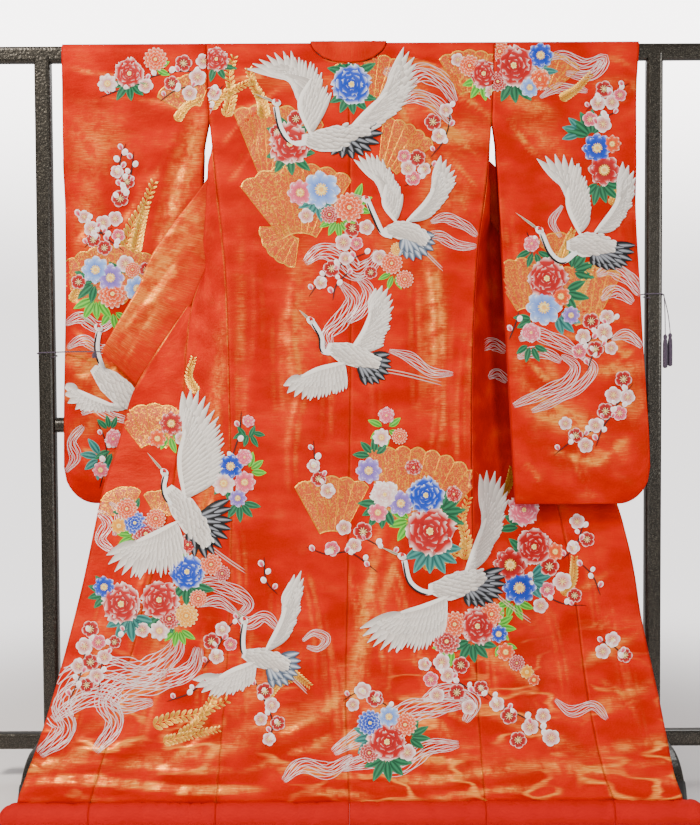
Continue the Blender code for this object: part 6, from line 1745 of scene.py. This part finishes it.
def brocade():
    # gold thread couched in small curls, with the red ground between them
    made, tree, shader = newMaterial("gold_brocade_couched")
    place = addNode(tree, "TexCoord").outputs["Object"]
    curls = stretchedNoise(tree, place, (150, 150, 150), 1.0, 0.4)
    line = calculate(tree, "ABSOLUTE", calculate(tree, "SUBTRACT", curls, 0.5))
    finer = calculate(tree, "ABSOLUTE", calculate(tree, "SUBTRACT", stretchedNoise(tree, place, (330, 330, 330), 0.0), 0.5))
    gold = rangeOf(tree, calculate(tree, "MINIMUM", line, calculate(tree, "ADD", finer, 0.02)), 0.060, 0.022)
    clouds = stretchedNoise(tree, place, (40, 40, 40), 2.0)
    ground = mixColours(tree, clouds, linear("C01E04"), linear("D8560C"))
    tree.links.new(mixColours(tree, gold, ground, linear("E8A030")), shader.inputs["Base Color"])
    tree.links.new(calculate(tree, "MULTIPLY", gold, 0.7), shader.inputs["Metallic"])
    shader.inputs["Roughness"].default_value = 0.36
    bumpFrom(tree, shader, gold, 0.0006, 0.8)
    return made


yarns = {"silk": silkFloss("silk_floss_embroidery", 0.48, 0.0), "gold": silkFloss("gold_thread", 0.34, 0.75),
         "silver": silkFloss("silver_thread", 0.38, 0.35), "brocade": brocade()}
print("motifs laid:", sum(len(part[2]) for parts in stitches.values() for part in parts), "quads")


def sewOn(place):
    # carries the motifs of one place over to its cloth
    side = places[place][3]
    readMap(place)
    spots = np.concatenate([part[1] for part in stitches[place]])
    right, rise = photoRay(spots[:, 0], spots[:, 1])
    depth = np.full(len(spots), -0.05)
    for _ in range(10):
        reach = camera["distance"] + depth
        x, z = right * reach, camera["height"] + rise * reach
        level, real = clothDepth(place, x, z)
        depth = level - backShift
    y = level + side * (cloth["wall"] / 2 + spots[:, 2])
    faces, kinds, count = [], [], 0
    names = list(yarns)
    for yarn, points, quads, _, _ in stitches[place]:
        faces.append(quads + count)
        kinds.append(np.full(len(quads), names.index(yarn)))
        count += len(points)
    faces, kinds = np.concatenate(faces), np.concatenate(kinds)
    kept = real[faces].all(axis=1)
    faces, kinds = faces[kept], kinds[kept]
    if side > 0:
        faces = faces[:, ::-1]
    used, faces = np.unique(faces, return_inverse=True)
    faces = faces.reshape(-1, 4)
    name = "embroidery_" + "".join("_" + c.lower() if c.isupper() else c for c in place)
    mesh = bpy.data.meshes.new(name)
    mesh.from_pydata(np.stack([x, y, z], axis=1)[used].tolist(), [], faces.tolist())
    for look in yarns.values():
        mesh.materials.append(look)
    mesh.polygons.foreach_set("material_index", kinds.astype(np.int32))
    mesh.polygons.foreach_set("use_smooth", np.ones(len(faces), bool))
    colour = np.concatenate([part[3] for part in stitches[place]])[used]
    layer = mesh.color_attributes.new("dye", "FLOAT_COLOR", "POINT")
    layer.data.foreach_set("color", np.concatenate([colour, np.ones((len(colour), 1))], axis=1).astype(np.float32).ravel())
    comb = np.concatenate([part[4] for part in stitches[place]])[used]
    uv = mesh.uv_layers.new(name="comb")
    uv.data.foreach_set("uv", comb[faces.ravel()].astype(np.float32).ravel())
    mesh.update()
    item = bpy.data.objects.new(name, mesh)
    bpy.context.scene.collection.objects.link(item)
    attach(item, "root")
    print(name, len(faces) * 2, "triangles,", int((~kept).sum()), "quads off the cloth")


for place in stitches:
    sewOn(place)


# Declarations
for name, item in pieces.items():
    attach(item, "root")

for item in allowances:
    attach(item, "root")

# the cords' routes and lengths, read back and not used further
for name in ("tie_cord_left", "tie_cord_right"):
    route, length = cordFacts[name]
for word in "ab":
    route, length = cordFacts["tassel_cord_" + word]

# Stage: a pale floor that runs out to the horizon and soft lights


stage = {"backdrop": 2.5, "top": 6.5, "ambient": 0.42}


def addStage():
    made, tree, shader = newMaterial("pale_floor")
    shader.inputs["Base Color"].default_value = linear("F4F0EE")
    away = addNode(tree, "VectorMath", {"operation": "LENGTH"}, i0=addNode(tree, "TexCoord").outputs["Object"])
    tree.links.new(rangeOf(tree, away.outputs["Value"], 2.6, 1.0), shader.inputs["Alpha"])
    shader.inputs["Roughness"].default_value = 0.9
    shader.inputs["Specular IOR Level"].default_value = 0.1
    bpy.ops.mesh.primitive_circle_add(vertices=96, radius=2.6, fill_type="NGON", location=(0, 0, 0))
    floor = bpy.context.active_object
    floor.name = "floor"
    floor.data.materials.append(made)
    world = bpy.data.worlds.new("studio")
    bpy.context.scene.world = world
    world.use_nodes = True
    tree = world.node_tree
    tree.nodes["Background"].inputs[0].default_value = linear("F4EFEE")
    # the backdrop is seen brighter than it lights, as a wall lit by its own lamps is
    seen = addNode(tree, "LightPath").outputs["Is Camera Ray"]
    level = addNode(tree, "SeparateXYZ", i0=addNode(tree, "TexCoord").outputs["Generated"]).outputs[2]
    glow = rangeOf(tree, level, 0.02, 0.20, stage["backdrop"] - stage["ambient"], stage["top"])
    bright = calculate(tree, "MULTIPLY", seen, glow)
    tree.links.new(calculate(tree, "ADD", bright, stage["ambient"]), tree.nodes["Background"].inputs[1])


def addLight(name, location, target, size, watts, colour):
    data = bpy.data.lights.new(name, "AREA")
    data.energy = watts
    data.size = size
    data.color = linear(colour)[:3]
    item = bpy.data.objects.new(name, data)
    bpy.context.scene.collection.objects.link(item)
    item.location = location
    away = np.array(target, float) - np.array(location, float)
    item.rotation_euler = (math.atan2(math.hypot(away[0], away[1]), -away[2]), 0.0,
                           math.atan2(away[1], away[0]) - math.pi / 2)


addStage()
addLight("keyAbove", (-2.0, -2.3, 3.2), (0, 0, 0.9), 0.8, 185, "FFF8F0")
addLight("fillRight", (2.8, -2.2, 1.6), (0, 0, 0.9), 1.4, 54, "FFFFFF")
addLight("lowFront", (0.2, -3.6, 0.8), (0, 0, 0.7), 1.6, 26, "FFFFFF")
addLight("backAbove", (0.8, 2.4, 3.0), (0, 0, 1.0), 2.0, 50, "FFFFFF")
